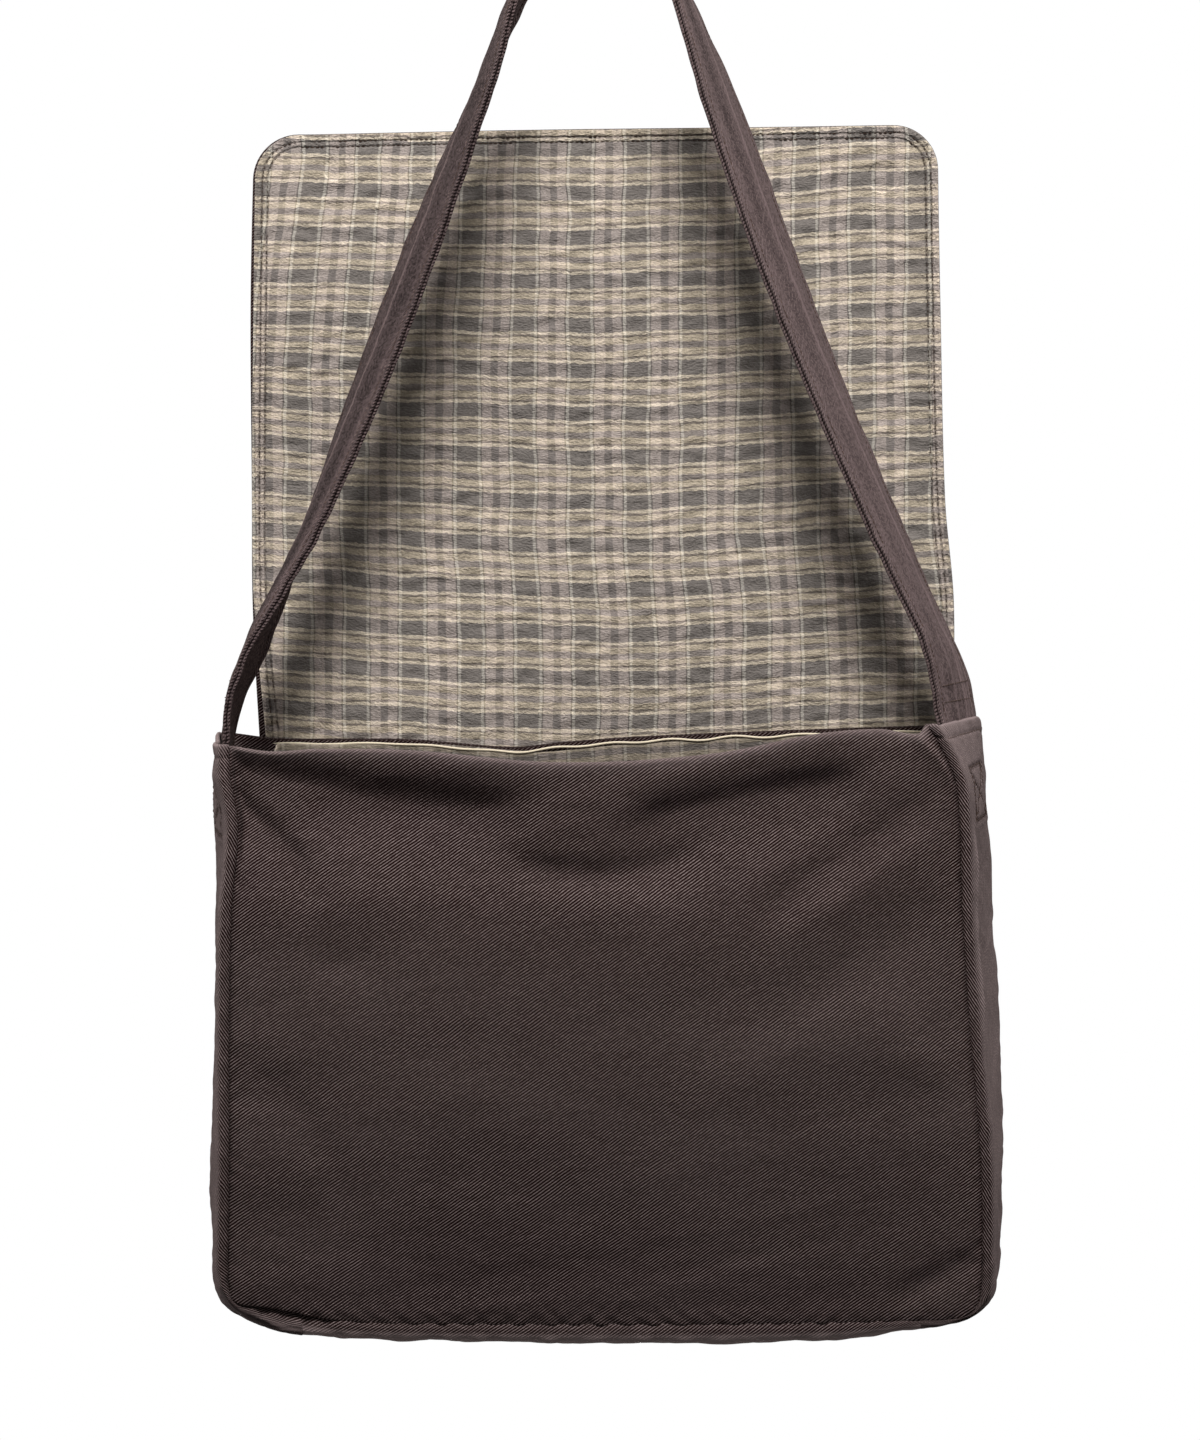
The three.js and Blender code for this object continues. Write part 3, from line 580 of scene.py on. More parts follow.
# The back: like the front, but swelled by one parabola across times one down, with a few slack waves.
def makeBack(look):
    across, fromSide, edgeX = (values[::-1] for values in panelFrame("Back", look))
    down = 1 - np.linspace(0, 1, look["rows"])[None, :]
    bottom = look["bottom"] + cornerLift(fromSide, look["radius"])
    top = backTop(edgeX)
    z = between(top, bottom, down)
    x = between(section("leftBack", z), section("rightBack", z), across)
    seam = np.minimum(fromSide + 0 * z, z - bottom)
    belowFlap = smoothStep(top - z, *look["belowFlap"])  # flat where the flap is sewn on
    swell = look["swell"] * (1 - (2 * across - 1) ** 2) * 4 * down * (1 - down) * belowFlap
    hold = smoothStep(fromSide, 1, 20) * smoothStep(z - bottom, 1, 20) * belowFlap
    y = section("backY", z) + swell + hold * layered(x, z, look["slack"]) - fade(seam, *look["seamDip"])
    outer = stacked(x, y, z)
    inner = outer - look["thick"] * backwards
    # painted shadow: the back darker along its top edge
    wearAndPaintedLight = fade(seam, *look["seamWorn"]) - fade(top - z, *look["edgeDark"])
    skins = clothSkins(outer, inner, stacked(x, z, wearAndPaintedLight))
    return makePiece("backPanel", *skins, bodyTwill, "brown_twill", "back_panel")


backPanel = makeBack(backShape)

gussetShape = {
    "thick": 1.6, "gap": 0.5, "lip": 5.5, "roundOut": 1.5, "roundDeep": 4,
    "seams": {"left": -147, "right": 158},
    # height, corner radius, and squareness at the left and the right
    "lines": {"Front": (-720, 28, 7, 4.5), "Side": (-734, 40, 2, 2.3), "Back": (-722, 18, 2, 2)},
    "hems": {"left": (-436, -430, -431), "right": (-426, -422, -427)},  # front, middle, back
    "knots": (0, 5, 10, 28, 46, 60, 76, 92, 97, 102), "across": 84,
    "side": 190, "corner": 44, "end": 12, "bottom": 150, "crowding": 1.5,
    "sag": [(0.3, 0.2), (0.62, 0.6), (0.86, 3.4), (0.97, 10)],  # share of the drop, depth behind the seam
    "sagDeep": 24,
    "lift": (-158, 26, 3.4),  # where the front's edge stands off the bottom: middle, reach and depth
    "slack": (0.35, (30, 90), (24, 80)), "pucker": (0.12, (9, 24), (9, 24)),  # height and lengths
    # a fold of the right side: below the hem and in from the seam, then its height, width and painted
    # highlight
    "fold": {"rightGusset": ((40, 15), (62, 14), (104, 11), (130, 10), (160, 10))}, "ridge": (1.3, 1.8, 0.35),
    "tuck": {"leftGusset": (1.6, 17, -30, 7)},  # beside the hem: height, below the hem, depth and reach
    "strapEnd": ((-33, -30), (11, 14), (50, 54)), "strapBulge": 0.7,  # its front, back and lower edges
    "hemThick": 2.2, "hemFade": (8, 12), "hemLine": 6.0, "hemGroove": (0.6, 1.1), "hemRound": (0.3, 2.5),
    "faded": (0.34, 2.2),  # side, bottom
    "hemWorn": (0.5, 2.0), "seamDark": (0.3, 0.9), "sewnShade": 0.7,
}


# A place on one of the gusset's three lines, and the way out of the bag there: down the side, round the
# corner, which is a quarter of a circle or of a squarer curve, then along the bottom.
def gussetLine(name, height, hem, stretch, side, share):
    bottom, radius, *squareness = gussetShape["lines"][name]
    square = squareness[0 if side < 0 else 1]
    column = ("left" if side < 0 else "right") + name
    sideX = section(column, bottom + radius)
    cornerX = sideX - side * radius
    if stretch == "side":
        z = between(hem, height(sideX) + radius, share)
        return section(column, z), z, side + 0 * share, 0 * share
    if stretch == "corner":
        outX, outZ = np.cos(share * np.pi / 2), np.sin(share * np.pi / 2)
        reach = radius / (outX**square + outZ**square) ** (1 / square)
        x = cornerX + side * reach * outX
        return x, height(x) + radius - reach * outZ, side * outX, -outZ
    seams, half = gussetShape["seams"], gussetShape["gap"] / 2
    if stretch == "end":
        x = between(cornerX, (seams["left"] - half) if side < 0 else (seams["right"] + half), share)
    else:
        x = between(seams["left"] + half, seams["right"] - half, share)
    return x, height(x) + 0 * x, 0 * x, -1 + 0 * x


# Cross-sections of a gusset, ten points each: front seam, lip, turn, dent, outermost line and the same
# again to the back. Round the corners and along the bottom the front half sags: it drops from the seam and
# turns under in a roll.
def gussetSections(stretch, side, share):
    look, name = gussetShape, "left" if side < 0 else "right"
    heights = {"Front": lambda x: bottomAt("front", x), "Side": lambda x: bottomAt("lowest", x),
               "Back": lambda x: look["lines"]["Back"][0] + 0 * x}
    lines = [gussetLine(line, heights[line], hem, stretch, side, share)
             for line, hem in zip(heights, look["hems"][name])]
    front, crown, back = [stacked(x, 0, z) for x, z, _, _ in lines]
    outs = [stacked(outX, 0, outZ) for _, _, outX, outZ in lines]
    zero = 0 * share
    deep = section(name + "Deep", crown[:, 2])
    if stretch == "bottom":
        deep = between(section("leftDeep", crown[:, 2]), section("rightDeep", crown[:, 2]), share)
    dent = section(name + "Dent", crown[:, 2]) if stretch == "side" else zero
    frontY, backY = section("frontY", front[:, 2]), section("backY", back[:, 2])
    sag = {"side": zero, "corner": smoothStep(share, 0, 0.8), "end": 1 + zero, "bottom": 1 + zero}[stretch]
    deep = between(deep, frontY + look["sagDeep"], sag)
    frontStep = lambda out, y: front + outs[0] * np.reshape(out, (-1, 1)) + y[:, None] * backwards
    backStep = lambda out, y: back + outs[2] * out + y[:, None] * backwards
    drop = np.maximum(np.sum((crown - front) * outs[0], -1), 1)
    turnFront = frontStep(np.minimum(look["lip"] + look["roundOut"], drop), frontY + look["roundDeep"])
    turnBack = backStep(look["lip"] + look["roundOut"], backY - look["roundDeep"])
    middle = crown + deep[:, None] * backwards
    inward = outs[1] * dent[:, None]
    liftAt, liftReach, liftDeep = look["lift"]
    lifted = liftDeep * sag * np.exp(-(((front[:, 0] - liftAt) / liftReach) ** 4))
    taut = [frontStep(np.minimum(look["lip"] * 0.8, drop * 0.7), frontY - 1.0), turnFront,
            between(turnFront, middle, 0.35) - inward, between(turnFront, middle, 0.7) - 0.4 * inward]
    slack = [between(front, crown, part) + (frontY + depth + lifted * (1 - part))[:, None] * backwards
             for part, depth in look["sag"]]
    return np.stack([
        frontStep(look["gap"], frontY + 0.9 + lifted),
        *[between(a, b, sag[:, None]) for a, b in zip(taut, slack)], middle,
        between(middle, turnBack, 0.5) + 0.6 * outs[1], turnBack,
        backStep(look["lip"], backY + 0.4), backStep(look["gap"], backY - 0.9)], 1)


boxStitch = {
    "top": 22, "bottom": 48, "front": -29, "back": 8, "hem": 6.0, "hemHalf": 34, "deep": 0.8, "wide": 1.1,
}


# The sewn box and cross that hold the strap's end: corner pairs, each a height below the hem and a depth.
def boxLines():
    top, bottom, front, back = (boxStitch[edge] for edge in ("top", "bottom", "front", "back"))
    corners = [(top, front), (top, back), (bottom, back), (bottom, front)]
    return [*zip(corners, corners[1:] + corners[:1]), (corners[0], corners[2]), (corners[1], corners[3])]


# How near a place is to the box's lines: a bell of the distance to each stretch, the largest of them.
def boxGroove(drop, depth):
    near = 0 * (drop + depth)
    for (dropA, depthA), (dropB, depthB) in boxLines():
        wayX, wayY = dropB - dropA, depthB - depthA
        share = np.clip(((drop - dropA) * wayX + (depth - depthA) * wayY) / (wayX**2 + wayY**2), 0, 1)
        off = np.hypot(drop - dropA - share * wayX, depth - depthA - share * wayY)
        near = np.maximum(near, bell(off, boxStitch["wide"]))
    return near


def lengthAlong(path):  # the steps between a path's points, added up from its start
    return np.concatenate([[0], np.cumsum(np.linalg.norm(np.diff(path, axis=0), axis=-1))])


# A gusset: a smooth curve through each cross-section's points, then small waves, the strap's end showing
# through as a low step, a groove under the hem, and a skin one thickness further in.
def makeGusset(name, stretches, flip, node, seed, hemmed):
    look = gussetShape
    stations = np.concatenate([gussetSections(*s) for s in stretches])
    knots = np.array(look["knots"]) / look["knots"][-1]
    grid = through(knots, stations.transpose(1, 0, 2), np.linspace(0, 1, look["across"])).transpose(1, 0, 2)
    if flip:
        grid = grid[::-1]
    along = lengthAlong(grid[:, look["across"] // 2])[:, None]
    across = lengthAlong(grid[len(grid) // 2])[None, :]
    fromTop = (along[-1] - along) if flip else along
    seam = np.minimum(across, across[0, -1] - across)
    y = grid[..., 1]
    high, *lengths = look["slack"]
    out = high * smoothStep(seam, 4, 16) * ripples(across, along, seed, *lengths)
    high, *lengths = look["pucker"]
    out = out + high * ripples(across, along, seed + 1, *lengths)
    thick = look["thick"] + 0 * out
    # partly fading and partly painted light: the gussets paler than the front, the bottom one most
    wearAndPaintedLight = look["faded"][0 if hemmed else 1] * smoothStep(seam, 4, 9)
    if name in look["fold"]:
        foldTop, foldIn = np.array(look["fold"][name], float).T
        high, width, lightAndWear = look["ridge"]
        ridge = bell(across - through(foldTop, foldIn, fromTop), width) * smoothStep(fromTop, *foldTop[:2])
        ridge = ridge * (1 - smoothStep(fromTop, *foldTop[-2:]))
        out = out + high * ridge
        # painted highlight along the fold's ridge
        wearAndPaintedLight = wearAndPaintedLight + lightAndWear * ridge
    if hemmed:
        front, back, low = look["strapEnd"]
        onStrap = smoothStep(y, *front) * (1 - smoothStep(y, *back)) * (1 - smoothStep(fromTop, *low))
        sewn = boxGroove(fromTop, y)
        out = out + look["strapBulge"] * onStrap - boxStitch["deep"] * sewn
        (groove, grooveWide), (rounded, roundWide) = look["hemGroove"], look["hemRound"]
        out = out - groove * bell(fromTop - look["hemLine"], grooveWide) + rounded * bell(fromTop, roundWide)
        thick = between(look["hemThick"], look["thick"], smoothStep(fromTop, *look["hemFade"])) + 0 * out
        wearAndPaintedLight = wearAndPaintedLight - fade(seam, *look["seamDark"]) + fade(fromTop, *look["hemWorn"])
        # painted shade in the box's stitched grooves
        wearAndPaintedLight = wearAndPaintedLight - look["sewnShade"] * sewn
    if name in look["tuck"]:
        high, below, depth, reach = look["tuck"][name]
        out = out + high * bell(fromTop - below, reach) * bell(y - depth, reach)
    outer = grid + out[..., None] * gridNormals(grid)
    inner = outer - thick[..., None] * gridNormals(outer)
    skins = clothSkins(outer, inner, stacked(along, across, wearAndPaintedLight))
    return makePiece(name, *skins, bodyTwill, "brown_twill", node), outer, along.ravel()


# The stretches of a side gusset: down the side, with more rows near the hem, round the corner and to the
# seam.
def sideStretches(side):
    shares = {s: np.linspace(0, 1, gussetShape[s], endpoint=s == "end") for s in ("side", "corner", "end")}
    shares["side"] = shares["side"] ** gussetShape["crowding"]
    return [(stretch, side, share) for stretch, share in shares.items()]


bottomStretch = ("bottom", -1, np.linspace(0, 1, gussetShape["bottom"]))
leftGusset, leftGrid, leftAlong = makeGusset("leftGusset", sideStretches(-1), True, "left_gusset", 31, True)
rightGusset, rightGrid, rightAlong = makeGusset(
    "rightGusset", sideStretches(1), False, "right_gusset", 33, True)
bottomGusset, *_ = makeGusset("bottomGusset", [bottomStretch], True, "bottom_gusset", 35, False)

checkStart = 11.7  # x where the check's repeat begins
farInside = 40  # the checked cloth's distance from an edge, where none is near

pouchShape = {
    "bottom": -711, "squareness": 8, "side": 12, "rimSide": (21, 13), "front": 13, "back": 4, "rimBack": 0.5,
    "hemGap": 5, "hemDrop": 9, "backDrop": 2.2, "rimFrom": 0.86, "rimRise": 0.5, "thick": 1.0,
    "halfWide": 165, "halfDeep": 40, "foldShare": 0.6, "around": 300, "up": 44, "floor": 8, "floorFrom": 0.06,
    "crowding": 1.4, "slack": [(0.5, 41, (25, 70), (40, 120), 18)], "slackAround": 90, "slackUp": 280,
    "slackSide": 0.6, "checkTop": 8.7,
}


# The lining pouch: a squared-off cup inside the walls. P and q run from -1 to 1 across and from front to
# back.
def pouchPlace(p, q, up):
    look = pouchShape
    toRight, toBack = (p + 1) / 2, (q + 1) / 2
    rimX = between(section("leftFront", mouthZ), section("rightFront", mouthZ), toRight)
    rim = between(frontTop(rimX) - look["hemDrop"], backTop(rimX) - look["backDrop"], toBack)
    z = between(look["bottom"], rim, up)
    atRim = smoothStep(up, look["rimFrom"], 1)
    left = between(section("leftFront", z), section("leftBack", z), toBack)
    left = left + between(look["side"], look["rimSide"][0], atRim)
    right = between(section("rightFront", z), section("rightBack", z), toBack)
    right = right - between(look["side"], look["rimSide"][1], atRim)
    down = np.clip((frontTop(rimX) - z) / (frontTop(rimX) - frontShape["bottom"]), 0, 1)
    inset = between(look["front"], frontShape["hemThick"] + look["hemGap"], atRim)
    x = between(left, right, toRight)
    folds = look["foldShare"] * foldDepth(x, z, frontShape["folds"][:3])
    front = section("frontY", z) - frontSwell(toRight, down) + inset + folds
    back = section("backY", z) - backShape["thick"] - between(look["back"], look["rimBack"], atRim)
    return stacked(x, between(front, back, toBack), z)


# Rings of the pouch from the middle of its floor out, up its wall, over the rim and down inside again.
def makePouch(look):
    turn = np.linspace(0, 2 * np.pi, look["around"], endpoint=False)[None, :]
    square = look["squareness"]
    reach = (np.abs(np.sin(turn)) ** square + np.abs(np.cos(turn)) ** square) ** (1 / square)
    p, q = np.sin(turn) / reach, -np.cos(turn) / reach
    floor = np.linspace(look["floorFrom"], 1, look["floor"], endpoint=False)
    wall = 1 - np.linspace(1, 0, look["up"]) ** look["crowding"]
    wide = np.concatenate([floor, np.ones(look["up"])])[:, None]
    up = np.concatenate([np.zeros(look["floor"]), wall])[:, None]
    slack = layered(turn * look["slackAround"], up * look["slackUp"], look["slack"])
    slack = slack * smoothStep(up, 0.05, 0.3)
    sway = stacked(slack * p * look["slackSide"], slack * q * (1 - smoothStep(up, 0.9, 1)), 0)
    skins = []
    for thin in (0.0, look["thick"]):  # the outside, and the inside one thickness further in
        inP, inQ = 1 - thin / look["halfWide"], 1 - thin / look["halfDeep"]
        skin = pouchPlace(wide * p * inP, wide * q * inQ, up + 0 * p) + sway
        skin[..., 2] += thin * (1 - up)
        skins.append(skin)
    outer, inner = skins
    rim = between(outer[-1:], inner[-1:], 0.5) + np.array([0, 0, look["rimRise"]])
    rings = np.concatenate([outer, rim, inner[::-1]])
    faces = [face[::-1] for face in tubeFaces(gridIndex(rings))]
    x, _, z = np.moveaxis(rings, -1, 0)
    place = stacked(x - checkStart, backTop(x) - z + look["checkTop"], farInside)
    return makePiece("liningPouch", rings, faces, place, shadedInsideCotton, "checked_cotton", "lining_pouch")


liningPouch = makePouch(pouchShape)

rollShape = {
    "from": -166, "to": 166, "radius": 0.65, "along": 300, "around": 10, "drop": 1.9, "out": 1.4,
    "wave": [(0.25, 45, (14, 50), (14, 50), 8)], "sway": 0.3, "blunt": 24, "tip": 0.02,
}


# The lining's rolled edge along the back of the mouth: a thin round profile carried along the back's top
# line. Its radius falls at both ends as the root of one less a high power of the share of its length.
def makeRoll(look):
    x = np.linspace(look["from"], look["to"], look["along"])
    wave = layered(x, 0 * x, look["wave"])
    z = backTop(x) - look["drop"] + wave
    middle = stacked(x, section("backY", z) - backShape["thick"] - look["out"] + look["sway"] * wave, z)
    turn = np.linspace(0, 2 * np.pi, look["around"], endpoint=False)
    fromMiddle = np.abs(np.linspace(-1, 1, look["along"]))
    taper = look["radius"] * np.sqrt(np.clip(1 - fromMiddle ** look["blunt"], look["tip"], 1))
    points = middle[:, None] + taper[:, None, None] * stacked(0, np.cos(turn), np.sin(turn))
    place = stacked(x[:, None], turn * look["radius"], 0.5)
    return makePiece("mouthRoll", points, tubeFaces(gridIndex(points)), place, creamThread, "checked_cotton")


mouthRoll = makeRoll(rollShape)

flapShape = {
    "radius": 22, "rootDrop": 22, "edge": (-0.1, 0.1), "liningThick": 0.9, "outerThick": 1.6, "gap": 0.5,
    "corner": 14, "columns": (168, 110), "rows": (174, 120),  # lining, outer cloth
    "z": (-460, -420, -362, -310, -210, -118), "y": (0, 1, 4, 6, 5, 8),
    "left": (-167, -170.6, -175.8, -176.8, -176, -175.2), "leftEdge": (4, 2.6, 0.4, -0.1, 1.2, 0.5),
    "right": (178, 179.5, 180, 175.6, 173.2, 171.8), "top": (-125.2, -119.6),  # left, right
    "free": (22, 66), "offWall": 1.5, "curl": (-4, 2, 34),  # left, right, reach
    "waves": [(2.2, 0.021, 0.008, 0.4), (1.4, -0.013, 0.026, 1.9)],  # high, turns along x and z, start
    "crinkle": 0.38, "crinkles": [(0.7, 51, (18, 60), (6, 12), 40), (0.5, 52, (7, 16), (9, 26), 40)],
    "stitchRows": (3.2, 5.9), "rowSunk": 0.35, "rowWide": (0.8, 0.9),  # in the lining, in the outer cloth
    "discs": [(144.8, -145.6, 8.0, 0.5), (-137.7, -142.5, 6.0, 0.5)],  # pressed in: x, z, radius, depth
    "discEdge": (-1.4, 0.8),
    # how the checks lean: at the upper left, and low down by a start and a growth across
    "checkLean": 9.0, "leanUp": (-250, -115), "leanLeft": (-20, 150), "lowLean": (3, 0.013, 318, 378),
    "checkTop": 60.3, "sagUp": (-320, -160), "sagX": (-175, -120, -60, -15, 30, 75, 125, 175),
    "sagLow": (-8.6, -4.7, -1.7, 0.1, -0.1, -2.6, -5.4, -7.4),  # how far the checks hang below level
    "sagHigh": (-2, -0.9, 0.3, 0.3, -0.6, -2.8, -6.8, -8.3),
    "standOff": 0.4, "outerSlack": [(0.25, 61, (30, 90), (30, 90))],
    "rolled": (1.2, 1.2), "edgeDark": (0.35, 1.5),  # how much, and how far in
}


def flapSide(column, z):  # a column of the table, smooth up the flap
    return through(flapShape["z"], flapShape[column], z)


def flapTop(x):  # the top edge, straight from its left end to its right
    left, right = flapShape["left"][-1], flapShape["right"][-1]
    return between(*flapShape["top"], (x - left) / (right - left))


# Depth of the flap's lining at a place: it lies on the back up to the mouth, then stands up in slow waves
# with its side edges curled.
def flapDepth(x, z):
    look = flapShape
    root = backTop(x) - look["rootDrop"]
    free = smoothStep(z, *(root + rise for rise in look["free"]))
    waves = sum(high * np.sin(turnX * x + turnZ * z + start) for high, turnX, turnZ, start in look["waves"])
    left, right, reach = look["curl"]
    curl = (left * (1 - smoothStep(x - flapSide("left", z), 0, reach))
            + right * (1 - smoothStep(flapSide("right", z) - x, 0, reach)))
    wall = np.maximum(section("backY", z), section("backY", mouthZ)) + look["offWall"]
    return wall + free * (flapSide("y", z) + waves + curl)


# How far a place is inside the flap's edge: to the nearer side or the top, or from the corner's circle. The
# outer cloth's edges stand off the lining's by leftEdge and by edge, at the right and the top.
def flapInside(x, z, isOuter=0):
    right, top = flapShape["edge"]
    fromLeft = x - flapSide("left", z) + isOuter * flapSide("leftEdge", z)
    side = np.minimum(fromLeft, flapSide("right", z) + isOuter * right - x)
    below = flapTop(x) + isOuter * top - z
    radius = flapShape["radius"]
    inCorner = (side < radius) & (below < radius)
    return np.where(inCorner, radius - np.hypot(radius - side, radius - below), np.minimum(side, below))


# The flap's grid: columns straight between its sides at each height, rows from its root to its rounded top.
def flapGrid(look, isOuter):
    edge = isOuter * np.array([look["leftEdge"][-1], *look["edge"]])
    left, right = look["left"][-1] - edge[0], look["right"][-1] + edge[1]
    across = panelColumns(right - left, look["radius"], look["corner"], look["columns"][isOuter])[:, None]
    up = np.linspace(0, 1, look["rows"][isOuter])[None, :]
    fromSide = np.minimum(across, 1 - across) * (right - left)
    top = between(*look["top"], across) + edge[2] - cornerLift(fromSide, look["radius"])
    root = backTop(between(left, right, across)) - look["rootDrop"]
    z = between(root, top, up)
    leftX = flapSide("left", z) - isOuter * flapSide("leftEdge", z)
    return between(leftX, flapSide("right", z) + edge[1], across), z


def rowGrooves(inside, width):  # a bell across each row of stitches
    return sum(bell(inside - row, width) for row in flapShape["stitchRows"])


# The flap's lining: on the flap's depth, with two layers of crinkles, longer across than down, sunk along
# the stitch rows and in the pressed marks. The checks lean and sag with the cloth.
def makeFlapLining(look):
    x, z = flapGrid(look, 0)
    inside = flapInside(x, z)
    crinkle = look["crinkle"] * layered(x, z, look["crinkles"]) * smoothStep(inside, 0, 3)
    crinkle = crinkle + look["rowSunk"] * rowGrooves(inside, look["rowWide"][0])
    near, far = look["discEdge"]
    discs = sum(deep * (1 - smoothStep(np.hypot(x - atX, z - atZ), radius + near, radius + far))
                for atX, atZ, radius, deep in look["discs"])
    outer = stacked(x, flapDepth(x, z) + crinkle + discs, z)
    inner = outer + look["liningThick"] * backwards
    start, growth, *low = look["lowLean"]
    lean = look["checkLean"] * smoothStep(z, *look["leanUp"]) * smoothStep(-x, *look["leanLeft"])
    lean = lean + (start + growth * x) * smoothStep(-z, *low)
    sagLow, sagHigh = (through(look["sagX"], look[row], x) for row in ("sagLow", "sagHigh"))
    sag = between(sagLow, sagHigh, smoothStep(z, *look["sagUp"]))
    place = stacked(x - checkStart - lean, -z - look["checkTop"] - sag, np.minimum(inside, farInside))
    skins = clothSkins(outer, inner, place)
    return makePiece("flapLining", *skins, checkedCotton, "checked_cotton", "flap_lining")


# The flap's outer cloth: behind the lining, a little larger, its edge rolled forward round the lining's
# edge.
def makeFlapOuter(look):
    x, z = flapGrid(look, 1)
    inside = flapInside(x, z)
    fromEdge = np.maximum(flapInside(x, z, 1), 0)
    rolled = fade(fromEdge, *look["rolled"])
    front = stacked(x, flapDepth(x, z) + look["liningThick"] + look["gap"] + look["standOff"] - rolled, z)
    thick = look["outerThick"] + smoothStep(inside, 0, 8) * layered(x, z, look["outerSlack"])
    thick = thick - look["rowSunk"] * rowGrooves(inside, look["rowWide"][1])
    back = front + thick[..., None] * backwards
    skins = clothSkins(front, back, stacked(x, z, -fade(fromEdge, *look["edgeDark"])))
    return makePiece("flapOuter", *skins, bodyTwill, "brown_twill", "flap_outer")


flapLining = makeFlapLining(flapShape)
flapOuter = makeFlapOuter(flapShape)

strapShape = {
    "width": 38, "thick": 3.6, "along": 460, "across": 43, "edgeSteps": 15, "edgeCrowd": 1.4, "lip": 0.95,
    "stitchIn": 2.6, "stitchSunk": 0.3, "stitchWide": 0.8, "uneven": [(0.16, 71, (12, 40), (14, 50))],
    "ridge": 0.28, "ridgeAt": 5, "ridgeSway": (2.0, 70, 0.6),  # how far, over what length, and its start
    "ridgeWide": (1.0, 0.9), "endRidges": (-3, 10, 14), "endReach": 105,
    "edgeRoll": 1.2, "innerStart": 70,  # the cloth's place round the edges and on the inner face
    "ridgeWorn": 0.8, "innerPaintedLight": 0.2, "leftPaintedShade": (0.35, 15, 60), "grooveShade": (1.3, 0.13),
    "cupLightAndShade": [(0.32, -15.5, 3.5), (-0.25, -6, 4.5)], "bandSway": (0.35, 80),  # painted light and shade across the width: how much, place, width
    "route": [  # x, z, the turn of its width from straight back in degrees, and how far its middle stands out
        (-183.4, -478, 0, 1.4), (-186, -455, 0, 1.4), (-186.2, -432, 0, 1.4), (-183.2, -412, 5, 1.7),
        (-177, -395, 8, 3.4), (-170, -378, 6, 5.2), (-158.6, -355, -3, 5.0), (-143.2, -322, -15, 3.0),
        (-115.2, -253, -26, 1.7), (-87.2, -180, -26, 1.4), (-67.4, -128, -18, 2.0), (-55.4, -97, -10, 3.6),
        (-45, -69, 1, 4.2), (-33, -40, 6, 2.6), (-22, -13, 2, 1.4), (-12, -1.6, 0, 1.4), (0, 1.8, 0, 1.4),
        (12, -1.6, 2, 1.4), (22, -13, 5, 1.4), (33, -42, 9, 1.4), (46, -73, 17, 1.4), (64.2, -123, 28, 1.4),
        (88, -190, 31, 1.4), (115.8, -262, 29, 1.4), (147.4, -336, 27, 1.4), (164.8, -374, 24, 1.4),
        (173.6, -396, 28, 1.4), (178.2, -418, 30, 1.4), (180.6, -440, 22, 1.4), (184.6, -476, 12, 1.4)],
}


# The strap's path: its middle, the ways across its width and out of its loop at each station, the length so
# far and its cup there.
def strapFrames(look):
    route = np.array(look["route"], float)
    stations = np.linspace(0, len(route) - 1, look["along"])
    x, z, turn, cup = through(np.arange(len(route)), route, stations).T
    middle = stacked(x, 0, z)
    along = unit(np.gradient(middle, axis=0))
    lean = np.radians(turn)
    wide = stacked(np.sin(lean), np.cos(lean), 0)
    wide = unit(wide - along * np.sum(wide * along, -1, keepdims=True))
    return middle, wide, -np.cross(wide, along), lengthAlong(middle), cup


# Half the strap's thickness at a distance from its middle line: full, less a groove along each row of
# stitches.
def strapHalf(aside, look):
    groove = bell(np.abs(aside) - (look["width"] / 2 - look["stitchIn"]), look["stitchWide"])
    return look["thick"] / 2 - look["stitchSunk"] * groove


def strapCup(aside, cup, look):  # a parabola across the width, half above and half below the middle line
    return cup * (0.5 - 4 * (aside / look["width"]) ** 2)


# Low ridges along the strap's outer face, where the cloth folded in ends: one sways along the whole strap
# as a slow sine, and more stand beside it near the sewn ends.
def strapRidges(aside, length, look):
    far, over, start = look["ridgeSway"]
    sway = look["ridgeAt"] + far * np.sin(length / over + start)
    nearEnd = np.exp(-((np.minimum(length, length[..., -1:] - length) / look["endReach"]) ** 4))
    swayWide, endWide = look["ridgeWide"]
    more = sum(bell(aside - at, endWide) for at in look["endRidges"])
    return bell(aside - sway, swayWide) + nearEnd * more


